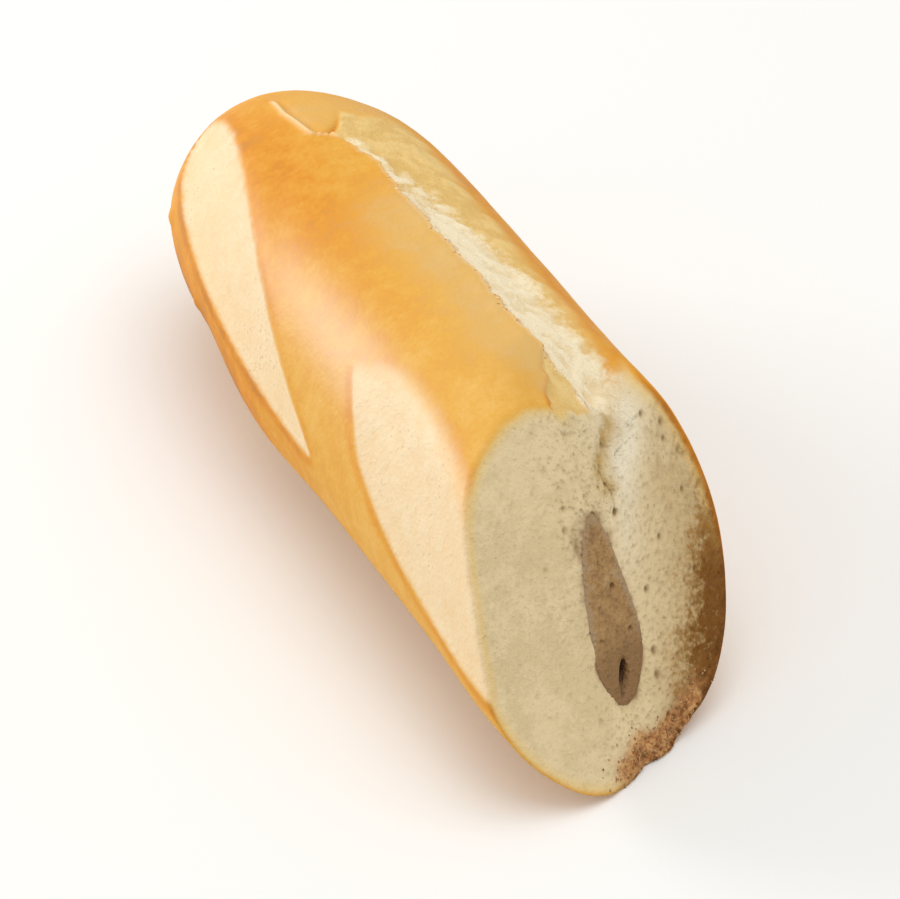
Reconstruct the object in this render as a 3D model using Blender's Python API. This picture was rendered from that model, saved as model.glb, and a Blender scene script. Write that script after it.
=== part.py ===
"""Half of a pate-filled bread stick, cut on the slant and lying on one flank.

Metres, +Z up.  X runs along the loaf, from the rounded end to the cut.
Angles go round the loaf from straight up, positive towards +Y: the slashed
top of the loaf faces -Y, the torn seam runs along its upper side.
The origin is the middle of the underside of the loaf's box.

bread   crust and crumb in one piece, with the pocket that the filling lies in
pate    the filling, a lens in section, running from the cut along the loaf
"""

import bmesh
import bpy
import numpy as np

MM = 0.001
FULL_TURN = 2 * np.pi

# ---- the plain loaf
LOAF_RADIUS = 20.0 * MM
END_LENGTH = 47.6 * MM              # the rounded end swells over this length
END_FULLNESS = 2.56                 # 2 is an ellipse, more is blunter
SLIMMING = 0.66                     # share of the radius lost per metre, past the end
REST_LEVEL = -18.8 * MM             # the flank is pressed flat at this height
RELIEF_FROM = 12 * MM               # the relief fades out where the end is thinner than this

# Slow swells and dents of the crust: place along, angle, height, length, spread.
SWELLS = (
    (10 * MM, -84, 0.45 * MM, 7 * MM, 20),
    (28 * MM, -112, -0.85 * MM, 8 * MM, 20),
    (48 * MM, -120, 0.55 * MM, 10 * MM, 24),
    (22 * MM, 44, 0.45 * MM, 9 * MM, 22),
    (44 * MM, 62, -0.30 * MM, 12 * MM, 24),
    (70 * MM, -20, 0.35 * MM, 18 * MM, 22),
    (97 * MM, -42, 0.80 * MM, 16 * MM, 16),
    (88 * MM, 48, 0.75 * MM, 12 * MM, 16),
    (108 * MM, -112, 0.60 * MM, 10 * MM, 18),
)

# ---- the slashes baked open across the top: leaves from one side to the other
SLASH_DEPTH = 1.25 * MM
SLASH_RIDGE = 0.30 * MM             # the crust swells beside the leaf's soft edge
RIDGE_PLACE = 1.25                  # in half widths of the leaf from its middle
RIDGE_WIDTH = 0.35
SLASH_DRIFT = 1.25                  # how late the leaf turns across the loaf
FADE_IN = 0.25                      # share of its length over which a faded slash opens
SLASHES = (
    # start, start angle, end, end angle, half width in degrees, fullness, point, faded or not
    (6 * MM, -45, 64.5 * MM, -92, 20.5, 0.58, 0.62, False),
    (63 * MM, -47.5, 124 * MM, -97.5, 25.0, 1.00, 0.80, True),
)

# ---- the seam torn open along the side
SEAM_START = 24 * MM
SEAM_OPENS_OVER = 13 * MM
LIP_CORNERS = (
    # place along in mm, angle: the curl near the end, a step, the long run, a step to the cut
    (14, -6.7),
    (19, -8.5),
    (26.5, -6.8),
    (28.5, 0.5),
    (31, 4.0),
    (46, 5.2),
    (68, 7.3),
    (76.5, 8.2),
    (81, 10.8),
    (83.3, 13.5),
    (84.6, 20.0),
    (86.6, 21.0),
    (88.6, 24.5),
    (92, 27.5),
)
LIP_WANDER = 0.35                   # degrees
WANDER_LENGTH = 13 * MM
SHORT_WANDER_LENGTH = 6.1 * MM
SHORT_WANDER_SHARE = 0.7
LIP_RISE = 0.35 * MM
LIP_WIDTH = 4.0
GROOVE_CORNERS = (
    # place along in mm, angle of the seam's lowest line, its depth in mm
    (24, 10, 0.0),
    (34, 13, 0.6),
    (56, 21, 1.1),
    (72, 22, 1.4),
    (80, 27, 1.9),
    (86, 33, 2.6),
    (91, 35, 3.0),
)
GROOVE_WALL = 0.6                   # share of the depth that drops right at the lip
WALL_SPREAD = 1.5                   # degrees over which it drops
GROOVE_RISE = 16                    # degrees over which the far side climbs back
PRESSED = (
    # angle, how far in mm the crust is pressed in where it was cut
    (-21, 0.0),
    (-11, 0.8),
    (-3, 1.9),
    (3, 2.6),
    (11, 3.2),
    (23, 4.1),
    (31, 4.5),
    (36, 4.5),
    (40, 2.7),
    (45, 0.0),
)
PRESSED_LENGTH = 10 * MM
PRESSED_RADIUS = 0.94 * LOAF_RADIUS

# ---- the slanting cut
CUT_DISTANCE = 103 * MM             # along the middle of the loaf
CUT_SLOPE_Y = -0.367
CUT_SLOPE_Z = -0.764
SHEAR_START = 42 * MM               # rings lean into the cut's slant from here on
SHEAR_BLEND = 0.35                  # share of the lean that starts and ends softly
TORN_MIDDLE = 168                   # the knife tore the lower edge here
TORN_SPREAD = 26
TORN_DEPTH = 1.9 * MM
TORN_REACH = 6.0 * MM
TORN_RAGGED = 0.3
TORN_TEETH = 15
TORN_FALLOFF = 1.5
EDGE_ROUNDING = 0.35 * MM
SEAM_ROLL = 2.2 * MM                # more, where the torn seam runs into the crumb
SEAM_ROLL_FROM = 12                 # degrees, and how far the roll takes to grow
SEAM_ROLL_GROWS = 16
SEAM_ROLL_TO = 54
SEAM_ROLL_FADES = 10
CREASE = ((7.9, 12.0), (6.2, 11.2), (4.7, 9.4), (4.6, 8.2), (5.4, 6.8), (5.2, 4.8))   # Y, Z in mm
CREASE_WIDTH = 1.0 * MM
CREASE_DEPTH = 0.8 * MM
UNEVEN_DEPTH = 0.16 * MM
UNEVEN_Y = 1.9 * MM
UNEVEN_Z = 2.3 * MM

# ---- the filling
PATE_MIDDLE_Y = 0.75 * MM
PATE_MIDDLE_Z = -2.85 * MM
PATE_HALF_HEIGHT = 8.4 * MM
PATE_HALF_WIDTH = 2.95 * MM
PATE_SAG = 0.42                     # the lens is fuller towards its lower end
PATE_POINT = 1.3                    # 1 has round ends, more has pointed ones
PATE_LEAN = 0.10                    # Y per Z, the lens leans out at the top
PATE_WAVER = 0.28 * MM
PATE_END = 20 * MM                  # the filling stops here, short of the rounded end
PATE_TAPER = 16 * MM
PATE_SUNK = 0.35 * MM               # the filling shrinks back from the cut
GAP = 0.3 * MM
CAVITY_Y = 0.3 * MM
CAVITY_Z = -8.95 * MM
CAVITY_WIDTH = 0.9 * MM
CAVITY_HEIGHT = 1.6 * MM
CAVITY_LEAN = 0.40
CAVITY_DEPTH = 2.2 * MM

# ---- how finely the forms are faceted
FINE_FROM = -112                    # the slashes and the seam lie between these angles
FINE_TO = 48
FINE_STEPS = 62
COARSE_STEPS = 30
END_RINGS = 15
BODY_RINGS = 29
FACE_RINGS = 7
POCKET_RINGS = 7
PATE_STEPS = 40
PATE_CAP_RINGS = 6
RIM_PASSES = 12                     # passes that bring the crust's end onto the knife's plane

SHARP_EDGE = np.radians(50)


def smooth_step(value):
    """0 below 0, 1 above 1, and an even S between them."""
    value = np.clip(value, 0, 1)
    return value * value * (3 - 2 * value)


def angle_between(angle, middle):
    """How far an angle lies past another, in degrees from -180 to 180."""
    return (angle - middle + 180) % 360 - 180


# ---------------------------------------------------------------- crust


def plain_radius(along):
    """Radius of the loaf as it was shaped: a full rounded end and a long body."""
    to_shoulder = np.clip(1 - along / END_LENGTH, 0, 1)
    rounding = (1 - to_shoulder**END_FULLNESS) ** (1 / END_FULLNESS)
    slimming = 1 - SLIMMING * np.clip(along - END_LENGTH, 0, None)
    return LOAF_RADIUS * rounding * slimming


def swell_height(along, angle):
    """Slow swells and dents of the crust."""
    height = np.zeros_like(along)
    for place, middle, rise, length, spread in SWELLS:
        off_along = (along - place) / length
        off_round = angle_between(angle, middle) / spread
        height += rise * np.exp(-(off_along**2) - off_round**2)
    return height


def slash_place(slash, along, angle):
    """Place within a slash: 0..1 along it, and -1..1 across it, and how far it is open."""
    start, start_angle, end, end_angle, half_width, fullness, point, _ = slash
    run = (along - start) / (end - start)
    inside = np.clip(run, 0, 1)
    middle = start_angle + (end_angle - start_angle) * inside**SLASH_DRIFT
    width = half_width * np.sin(np.pi * inside**fullness) ** point
    across = angle_between(angle, middle) / np.maximum(width, 1.0)
    return run, across, width / half_width


def slash_relief(along, angle):
    """Each slash lies below the crust, sharp on one side and soft on the other."""
    height = np.zeros_like(along)
    for slash in SLASHES:
        faded = slash[-1]
        run, across, openness = slash_place(slash, along, angle)
        sharp_side = np.clip(1 - np.abs(across) ** 6, 0, 1)
        soft_side = np.clip(1 - across**2, 0, 1) ** (2 if faded else 1)
        leaf = np.where(across < 0, sharp_side, soft_side)
        ridge = np.exp(-(((across - RIDGE_PLACE) / RIDGE_WIDTH) ** 2)) * (0 if faded else 1)
        opened = openness * smooth_step(run / FADE_IN) if faded else openness
        in_run = (run > 0) & (run < 1)
        height += np.where(in_run, (SLASH_RIDGE * ridge - SLASH_DEPTH * leaf) * opened, 0)
    return height


def lip_angle(along):
    """Angle of the torn lip: a curl near the end, a step, then a wandering run to the cut."""
    places, angles = np.array(LIP_CORNERS).T
    wander = np.sin(FULL_TURN * along / WANDER_LENGTH + 1.0)
    wander += SHORT_WANDER_SHARE * np.sin(FULL_TURN * along / SHORT_WANDER_LENGTH + 2.0)
    return np.interp(along / MM, places, angles) + LIP_WANDER * wander


def groove_place(along):
    """Angle and depth of the seam's lowest line."""
    places, angles, depths = np.array(GROOVE_CORNERS).T
    return np.interp(along / MM, places, angles), np.interp(along / MM, places, depths) * MM


def near_cut(along, angle):
    """0 well away from the cut, 1 at it."""
    turn = np.radians(angle)
    left_over = cut_plane(PRESSED_RADIUS * np.sin(turn), PRESSED_RADIUS * np.cos(turn)) - along
    return smooth_step((PRESSED_LENGTH - left_over) / (PRESSED_LENGTH + MM))


def pressed_depth(angle):
    """How far the crust is pressed in at the cut."""
    angles, depths = np.array(PRESSED).T
    return np.interp(angle_between(angle, 0), angles, depths) * MM


def seam_relief(along, angle):
    """The seam drops below a raised lip to its lowest line and climbs back to plain crust."""
    past_lip = angle_between(angle, lip_angle(along))
    opened = smooth_step((along - SEAM_START) / SEAM_OPENS_OVER)
    lowest, depth = groove_place(along)
    bottom = lowest - lip_angle(along)
    wall = GROOVE_WALL * smooth_step(past_lip / WALL_SPREAD)
    slope = (1 - GROOVE_WALL) * smooth_step(past_lip / bottom)
    climb = 1 - smooth_step((past_lip - bottom) / GROOVE_RISE)
    lip = opened * LIP_RISE * np.exp(-(((past_lip + LIP_WIDTH / 2) / LIP_WIDTH) ** 2))
    height = np.where(past_lip < 0, lip, 0) - opened * depth * (wall + slope) * climb
    at_cut = near_cut(along, angle)
    return height * (1 - at_cut) - pressed_depth(angle) * at_cut


def crust_radius(along, angle):
    """Radius of the finished crust."""
    plain = plain_radius(along)
    relief = swell_height(along, angle) + slash_relief(along, angle) + seam_relief(along, angle)
    return plain + relief * smooth_step(plain / RELIEF_FROM)


def crust_points(along, angle):
    """Points on the crust, pressed flat where the loaf lies."""
    radius = crust_radius(along, angle)
    turn = np.radians(angle)
    level = np.maximum(radius * np.cos(turn), REST_LEVEL)
    return np.stack([along, radius * np.sin(turn), level], axis=-1)


# ---------------------------------------------------------------- cut face


def cut_plane(across, level):
    """Where the knife's plane lies, along the loaf."""
    return CUT_DISTANCE + CUT_SLOPE_Y * across + CUT_SLOPE_Z * level


def tear_depth(angle):
    """How far the lower edge of the cut is torn back."""
    off = angle_between(angle, TORN_MIDDLE) / TORN_SPREAD
    ragged = 1 + TORN_RAGGED * np.sin(np.radians(angle) * TORN_TEETH)
    return TORN_DEPTH * ragged * np.exp(-(off**4))


def edge_rounding(angle):
    """How far back from the cut the crust ends, most where the seam runs into the crumb."""
    grown = smooth_step((angle - SEAM_ROLL_FROM) / SEAM_ROLL_GROWS)
    fading = smooth_step((SEAM_ROLL_TO - angle) / SEAM_ROLL_FADES)
    return EDGE_ROUNDING + SEAM_ROLL * grown * fading


def rim_distance(angle):
    """Distance along the loaf at which the cut meets the crust, for each angle."""
    along = np.full(angle.shape, CUT_DISTANCE)
    for _ in range(RIM_PASSES):
        _, across, level = crust_points(along, angle).T
        along = cut_plane(across, level)
    return along - tear_depth(angle) - edge_rounding(angle)


def distance_to_crease(across, level):
    """Distance in the cut face from the fold that runs in from the seam."""
    place = np.stack([across, level], axis=-1)
    nearest = np.full(across.shape, np.inf)
    corners = np.array(CREASE) * MM
    for first, last in zip(corners, corners[1:]):
        run = last - first
        share = np.clip(((place - first) @ run) / (run @ run), 0, 1)
        foot = first + share[..., None] * run
        nearest = np.minimum(nearest, np.linalg.norm(place - foot, axis=-1))
    return nearest


def face_depth(across, level):
    """Relief of the cut crumb: a gentle unevenness and the crease."""
    uneven = UNEVEN_DEPTH * np.sin(across / UNEVEN_Y + 1.3) * np.sin(level / UNEVEN_Z)
    crease = CREASE_DEPTH * np.exp(-((distance_to_crease(across, level) / CREASE_WIDTH) ** 2))
    return crease + uneven


# ---------------------------------------------------------------- filling


def lens_outline(angle, scale, grow):
    """Section of the filling as Y and Z, grown outwards by a clearance."""
    turn = np.radians(angle)

    def outline(turn):
        height = PATE_HALF_HEIGHT * np.cos(turn)
        fullness = 1 - PATE_SAG * np.cos(turn)
        waver = PATE_WAVER * np.sin(3 * turn + 0.8) * np.sin(turn) ** 2
        side = np.sign(np.sin(turn)) * np.abs(np.sin(turn)) ** PATE_POINT
        width = PATE_HALF_WIDTH * fullness * side + waver
        return np.stack([width + PATE_LEAN * height, height], axis=-1) * scale

    nudge = 0.01
    tangent = outline(turn + nudge) - outline(turn - nudge)
    outward = np.stack([-tangent[:, 1], tangent[:, 0]], axis=-1)
    outward /= np.linalg.norm(outward, axis=-1, keepdims=True)
    middle = np.array([PATE_MIDDLE_Y, PATE_MIDDLE_Z])
    return middle + outline(turn) + outward * grow


def lens_scale(along):
    """The filling keeps its section and rounds off over the last stretch."""
    to_end = np.clip(1 - (along - PATE_END) / PATE_TAPER, 0, 1)
    return np.sqrt(1 - to_end**2)


def filling_rings(angle, grow, count, front):
    """Rings of the filling's side, from the cut to the deep end."""
    rings = []
    reach = CUT_DISTANCE - PATE_END
    for share in np.linspace(0, 1, count + 1)[:-1]:
        along = CUT_DISTANCE - reach * np.sin(share * np.pi / 2)
        section = lens_outline(angle, lens_scale(along), grow)
        slant = front - CUT_DISTANCE
        lean = 1 - smooth_step(share * 2)
        place = along + slant * lean
        rings.append(np.column_stack([place, section]))
    deep_end = np.array([PATE_END - grow, PATE_MIDDLE_Y, PATE_MIDDLE_Z])
    return rings, deep_end


def cavity_depth(across, level):
    """The dark hollow near the lower end of the filling."""
    up = level - CAVITY_Z
    off_across = (across - CAVITY_Y - CAVITY_LEAN * up) / CAVITY_WIDTH
    return CAVITY_DEPTH * np.exp(-((off_across**2 + (up / CAVITY_HEIGHT) ** 2) ** 1.5))


# ---------------------------------------------------------------- meshes


def wrap(name, first_point, rings, last_point, materials, inner_from=None):
    """Close a run of rings, all of one count, with a point at each end."""
    mesh = bmesh.new()
    first = mesh.verts.new(first_point)
    loops = [[mesh.verts.new(point) for point in ring] for ring in rings]
    last = mesh.verts.new(last_point)
    count = len(loops[0])
    for place in range(count):
        after = (place + 1) % count
        mesh.faces.new((first, loops[0][after], loops[0][place]))
        mesh.faces.new((last, loops[-1][place], loops[-1][after]))
        for step in range(len(loops) - 1):
            near = loops[step]
            far = loops[step + 1]
            face = mesh.faces.new((near[place], near[after], far[after], far[place]))
            if inner_from is not None and step >= inner_from:
                face.material_index = 1
    bmesh.ops.recalc_face_normals(mesh, faces=mesh.faces)
    data = bpy.data.meshes.new(name)
    mesh.to_mesh(data)
    mesh.free()
    piece = bpy.data.objects.new(name, data)
    bpy.context.scene.collection.objects.link(piece)
    for material in materials:
        data.materials.append(material)
    data.shade_smooth()
    data.set_sharp_from_angle(angle=SHARP_EDGE)
    return piece


def bread_piece(materials):
    """Crust, cut face and the pocket that the filling lies in, as one skin."""
    fine = np.linspace(FINE_FROM, FINE_TO, FINE_STEPS, endpoint=False)
    coarse = np.linspace(FINE_TO, FINE_FROM + 360, COARSE_STEPS, endpoint=False)
    angle = np.concatenate([fine, coarse])
    rim = rim_distance(angle)

    opening = np.linspace(0, np.pi / 2, END_RINGS + 1)[1:]
    end_stations = END_LENGTH * (1 - np.cos(opening) ** (2 / END_FULLNESS))
    stations = np.concatenate(
        [end_stations, np.linspace(END_LENGTH, CUT_DISTANCE, BODY_RINGS + 1)[1:]]
    )
    rings = []
    for station in stations:
        linear = np.clip((station - SHEAR_START) / (CUT_DISTANCE - SHEAR_START), 0, 1)
        shear = SHEAR_BLEND * smooth_step(linear) + (1 - SHEAR_BLEND) * linear
        rings.append(crust_points(station + shear * (rim - CUT_DISTANCE), angle))

    outer = rings[-1]
    pocket_mouth = lens_outline(angle, 1.0, GAP)
    for share in np.linspace(0, 1, FACE_RINGS + 1)[1:]:
        place = outer[:, 1:] * (1 - share) + pocket_mouth * share
        reach = np.linalg.norm(outer[:, 1:] - place, axis=-1)
        torn = tear_depth(angle) * np.clip(1 - reach / TORN_REACH, 0, 1) ** TORN_FALLOFF
        along = cut_plane(*place.T) - face_depth(*place.T) - torn
        rings.append(np.column_stack([along, place]))
    pocket, deep_end = filling_rings(angle, GAP, POCKET_RINGS, rings[-1][:, 0])
    tip = np.array([0.0, 0.0, 0.0])
    face_from = len(stations) - 1
    return wrap("bread", tip, rings + pocket[1:], deep_end, materials, face_from)


def pate_piece(material):
    """The filling, sunk a little at the cut, with the hollow near its lower end."""
    angle = np.linspace(0, 360, PATE_STEPS, endpoint=False)
    section = lens_outline(angle, 1.0, 0.0)
    edge = cut_plane(*section.T) - face_depth(*section.T) - PATE_SUNK
    rings, deep_end = filling_rings(angle, 0.0, POCKET_RINGS, edge)
    middle = np.array([PATE_MIDDLE_Y, PATE_MIDDLE_Z])
    for share in np.linspace(0, 1, PATE_CAP_RINGS + 1)[1:-1]:
        place = section * (1 - share) + middle * share
        depth = PATE_SUNK + cavity_depth(*place.T)
        along = cut_plane(*place.T) - face_depth(*place.T) - depth
        rings.insert(0, np.column_stack([along, place]))
    centre = cut_plane(*middle) - PATE_SUNK - cavity_depth(*middle)
    front = np.array([centre, *middle])
    return wrap("pate", front, rings, deep_end, [material])


def rest_on_floor(pieces):
    """Move the meshes together, so that the origin is under the middle of the loaf."""
    corners = [vertex.co for piece in pieces for vertex in piece.data.vertices]
    points = np.array(corners)
    low = points.min(axis=0)
    high = points.max(axis=0)
    shift = np.array([(low[0] + high[0]) / 2, (low[1] + high[1]) / 2, low[2]])
    for piece in pieces:
        for vertex in piece.data.vertices:
            vertex.co -= type(vertex.co)(shift)


def finish(name, colour, roughness):
    """A plain Principled material."""
    material = bpy.data.materials.new(name)
    material.use_nodes = True
    shader = material.node_tree.nodes["Principled BSDF"]
    shader.inputs["Base Color"].default_value = (*colour, 1.0)
    shader.inputs["Roughness"].default_value = roughness
    shader.inputs["Metallic"].default_value = 0.0
    return material


def main():
    for old in list(bpy.data.objects):
        bpy.data.objects.remove(old, do_unlink=True)
    crust = finish("golden_crust", (0.72, 0.38, 0.10), 0.45)
    crumb = finish("pale_crumb", (0.66, 0.56, 0.38), 0.85)
    filling = finish("brown_pate", (0.30, 0.19, 0.12), 0.6)
    bread = bread_piece([crust, crumb])
    pate = pate_piece(filling)
    rest_on_floor([bread, pate])


main()
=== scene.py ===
"""Half of a pate-filled bread stick, dressed for a plain studio.

Metres, +Z up.  X runs along the loaf, from the rounded end to the slanting cut.
Angles go round the loaf from straight up, positive towards +Y, in degrees.
The loaf is modelled about its own middle line, with the tip of its rounded end
at 0, and then moved onto the floor.
"""

import bmesh
import bpy
import numpy as np
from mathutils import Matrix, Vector


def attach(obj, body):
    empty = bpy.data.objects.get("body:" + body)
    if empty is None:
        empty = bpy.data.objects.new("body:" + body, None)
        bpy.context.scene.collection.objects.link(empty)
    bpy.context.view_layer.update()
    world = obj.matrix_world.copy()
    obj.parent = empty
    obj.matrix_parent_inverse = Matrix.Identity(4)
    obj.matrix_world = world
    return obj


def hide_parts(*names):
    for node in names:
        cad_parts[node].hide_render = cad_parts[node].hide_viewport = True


MM = 0.001
FULL_TURN = 2 * np.pi

# ---- the plain loaf, as in the solid that carries it
LOAF_RADIUS = 20.0 * MM
END_LENGTH = 47.6 * MM
END_FULLNESS = 2.56
SLIMMING = 0.66
REST_LEVEL = -18.8 * MM
RELIEF_FROM = 12 * MM               # the relief fades out where the end is thinner
SWELLS = (
    # place along, angle, height, length, spread
    (10 * MM, -84, 0.45 * MM, 7 * MM, 20),
    (28 * MM, -112, -0.85 * MM, 8 * MM, 20),
    (48 * MM, -120, 0.55 * MM, 10 * MM, 24),
    (22 * MM, 44, 0.45 * MM, 9 * MM, 22),
    (44 * MM, 62, -0.30 * MM, 12 * MM, 24),
    (70 * MM, -20, 0.35 * MM, 18 * MM, 22),
    (97 * MM, -42, 0.80 * MM, 16 * MM, 16),
    (88 * MM, 48, 0.75 * MM, 12 * MM, 16),
    (108 * MM, -112, 0.60 * MM, 10 * MM, 18),
    (13 * MM, -82, 0.50 * MM, 1.3 * MM, 4),
    (26.5 * MM, -97, 0.45 * MM, 1.3 * MM, 4),
)

# ---- slashes: leaves baked open across the top
SLASH_DEPTH = 1.25 * MM
SLASH_RIDGE = 0.30 * MM
SLASH_DRIFT = 1.25
FADED_TIP = 3.0                     # mm by which the tip of the softer slash fades out
WELL_INSIDE = 4.0                   # mm from a slash's edge at which it is wholly pale
SLASHES = (
    # start, start angle, end, end angle, half width in degrees, fullness, point, soft edge in mm
    (6.0 * MM, -45, 64.5 * MM, -92, 20.5, 0.58, 0.62, 1.3),
    (63 * MM, -47.5, 124 * MM, -97.5, 25.0, 1.00, 0.80, 3.6),
)

# ---- the seam torn open along the side
LIP_CORNERS = (
    # place along in mm, angle: the curl near the end, a step, the long run, a step to the cut
    (14, -6.7),
    (19, -8.5),
    (26.5, -6.8),
    (28.5, 0.5),
    (31, 4.0),
    (46, 5.2),
    (68, 7.3),
    (76.5, 8.2),
    (81, 10.8),
    (83.3, 13.5),
    (84.6, 20.0),
    (86.6, 21.0),
    (88.6, 24.5),
    (92, 27.5),
)
WHITE_CORNERS = (
    # place along in mm, angle of the far edge of the white torn crumb
    (33, 9),
    (42, 18),
    (47, 20.5),
    (54, 24.5),
    (60, 28.5),
    (66, 31),
    (77, 32.5),
    (81, 37),
    (85, 41.5),
    (88, 47),
)
GROOVE_CORNERS = (
    # place along in mm, angle of the seam's lowest line, its depth in mm
    (24, 10, 0.0),
    (34, 13, 0.6),
    (56, 21, 1.1),
    (72, 22, 1.4),
    (80, 27, 1.9),
    (86, 33, 2.6),
    (91, 35, 3.0),
)
GROOVE_WALL = 0.6                   # share of the depth that drops right at the lip
GROOVE_RISE = 16                    # degrees over which the far side climbs back
PRESSED = (
    # angle, how far in mm the crust is pressed in where it was cut
    (-21, 0.0),
    (-11, 0.8),
    (-3, 1.9),
    (3, 2.6),
    (11, 3.2),
    (23, 4.1),
    (31, 4.5),
    (36, 4.5),
    (40, 2.7),
    (45, 0.0),
)
PRESSED_LENGTH = 10 * MM
LIP_WANDER = 0.35
LIP_TEETH = 2.7
LIP_RISE = 0.35 * MM
LIP_WIDTH = 4.0
LIP_UNDERCUT = 2.0
CURL_RISE = 0.5 * MM
ARC_PLACE = 27.5 * MM               # the torn band starts at an arc across the loaf
ARC_BEND = 3.0 * MM
ARC_ANGLE = -2
ARC_SPREAD = 9
PEEL_START = 80.5 * MM              # a corner of crust is peeled off beside the cut
PEEL_LENGTH = 7.5 * MM
PEEL_SPREAD = 21.0
PEEL_DEPTH = 0.45 * MM
TAN_END = 28                        # the tan of the torn band fades out past this angle
TAN_FADE = 16
TORN_RELIEF = 0.85 * MM

# ---- browning: place along, angle, more or less baked, length, spread
BROWNING = (
    (6 * MM, -20, 0.06, 18 * MM, 60),
    (30 * MM, -24, 0.20, 14 * MM, 14),
    (47 * MM, -28, 0.10, 16 * MM, 18),
    (24 * MM, -108, 0.55, 26 * MM, 20),
    (60 * MM, -76, -0.06, 14 * MM, 14),
    (76 * MM, -94, 0.02, 16 * MM, 16),
    (88 * MM, -24, -0.16, 14 * MM, 26),
    (84 * MM, -96, -0.16, 26 * MM, 24),
    (16 * MM, 8, -0.10, 9 * MM, 14),
    (60 * MM, 44, 0.16, 60 * MM, 12),
)

# ---- the slanting cut
CUT_DISTANCE = 103 * MM
CUT_SLOPE_Y = -0.367
CUT_SLOPE_Z = -0.764
SHEAR_START = 42 * MM
SHEAR_BLEND = 0.35
TORN_MIDDLE = 168
TORN_SPREAD = 26
TORN_DEPTH = 1.9 * MM
TORN_REACH = 6.0 * MM
EDGE_ROUNDING = 0.35 * MM
EDGE_ROLL = 0.75 * MM               # more, where the crust rolls over into the cut
SEAM_ROLL = 2.2 * MM                # most, where the torn seam runs into the crumb
CREASE = ((7.9, 12.0), (6.2, 11.2), (4.7, 9.4), (4.6, 8.2), (5.4, 6.8), (5.2, 4.8))   # Y, Z in mm
CREASE_WIDTH = 0.8 * MM
CREASE_DEPTH = 0.95 * MM
LARGE_PORES = (
    # Y, Z, half width, half height, in mm
    (13.0, 6.8, 0.62, 1.25),
    (12.5, 10.3, 0.42, 0.55),
    (1.6, 13.8, 0.85, 0.32),
    (3.2, 12.2, 0.6, 0.35),
    (0.2, 8.1, 0.32, 0.36),
    (-1.4, 11.6, 0.4, 0.34),
    (-2.8, 6.9, 0.42, 0.46),
    (-2.9, 4.4, 0.48, 0.40),
    (-1.4, 5.6, 0.45, 0.36),
    (-0.4, -0.8, 0.36, 0.4),
    (-3.4, -10.8, 0.4, 0.36),
    (6.6, 3.0, 0.3, 0.5),
    (15.2, 1.0, 0.4, 0.6),
)

# ---- the filling
PATE_MIDDLE_Y = 0.75 * MM
PATE_MIDDLE_Z = -2.85 * MM
PATE_HALF_HEIGHT = 8.4 * MM
PATE_HALF_WIDTH = 2.95 * MM
PATE_SAG = 0.42
PATE_POINT = 1.3                    # 1 has round ends, more has pointed ones
PATE_LEAN = 0.10
PATE_WAVER = 0.28 * MM
PATE_END = 20 * MM
PATE_TAPER = 16 * MM
PATE_SUNK = 0.22 * MM
PATE_INTO_CRUMB = 1.0 * MM          # the paste reaches into the wall of its pocket
GAP = 0.3 * MM
MOUTH_RAGGED = 0.75 * MM
MOUTH_ROUNDING = 0.5 * MM
MOUTH_REACH = 0.8 * MM
CAVITY_Y = 0.3 * MM
CAVITY_Z = -8.95 * MM
CAVITY_WIDTH = 0.55 * MM
CAVITY_HEIGHT = 1.1 * MM
CAVITY_LEAN = 0.40
CAVITY_DEPTH = 2.0 * MM
PATE_PITS = (
    # Y, Z, half size, in mm
    (1.9, -1.0, 0.42),
    (2.9, -5.5, 0.40),
    (-1.6, -5.0, 0.30),
    (-0.5, -10.6, 0.40),
    (0.9, 1.6, 0.28),
)

# ---- how finely the surfaces are divided: first angle, step in degrees
COLUMNS = ((-128, 1.1), (-14, 0.44), (50, 1.4), (78, 3.0))
TIP_LENGTH = 11 * MM
TIP_RINGS = 16
BODY_RINGS = 164
FACE_COLUMNS = 460
FACE_RINGS = 78
POCKET_RINGS = 6
PATE_STEPS = 220
PATE_CAP_RINGS = 40

# ---- camera, as far from the loaf as in the photograph, and a long lens
CAMERA_DISTANCE = 0.6
CAMERA_SIDE = -25.43                # degrees round from +X, towards -Y
CAMERA_RISE = 36.49
CAMERA_AIM = (60 * MM, 0.0, 0.0)    # on the loaf's own middle line
AIM_RIGHT = 1.1 * MM
AIM_UP = -7.2 * MM
PHOTO_FOCAL = 1767.9                # in pixels of the 900 pixel wide picture
PICTURE_WIDTH = 900
ZOOM = 2.75
SENSOR = 36.0

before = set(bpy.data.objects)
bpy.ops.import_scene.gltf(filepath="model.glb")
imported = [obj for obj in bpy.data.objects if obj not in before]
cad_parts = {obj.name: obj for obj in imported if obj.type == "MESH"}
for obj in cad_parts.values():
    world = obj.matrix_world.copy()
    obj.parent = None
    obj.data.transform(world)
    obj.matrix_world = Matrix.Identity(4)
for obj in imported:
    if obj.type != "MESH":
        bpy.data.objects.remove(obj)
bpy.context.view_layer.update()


# ---------------------------------------------------------------- numbers


def smooth_step(value):
    """0 below 0, 1 above 1, and an even S between them."""
    value = np.clip(value, 0, 1)
    return value * value * (3 - 2 * value)


def angle_between(angle, middle):
    """How far an angle lies past another, in degrees from -180 to 180."""
    return (angle - middle + 180) % 360 - 180


def hill(value, width):
    """A smooth hill of height 1 about 0."""
    return np.exp(-((value / width) ** 2))


BITS = 0xFFFFFFFF
TILTS = np.array([[0.80, 0.48, -0.36], [-0.60, 0.64, -0.48], [0.0, 0.60, 0.80]])
FIBRE_SLANT = np.array([[0.75, 0.0, 0.0], [-0.45, 0.55, 0.0], [0.0, 0.0, 1.0]])


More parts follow.
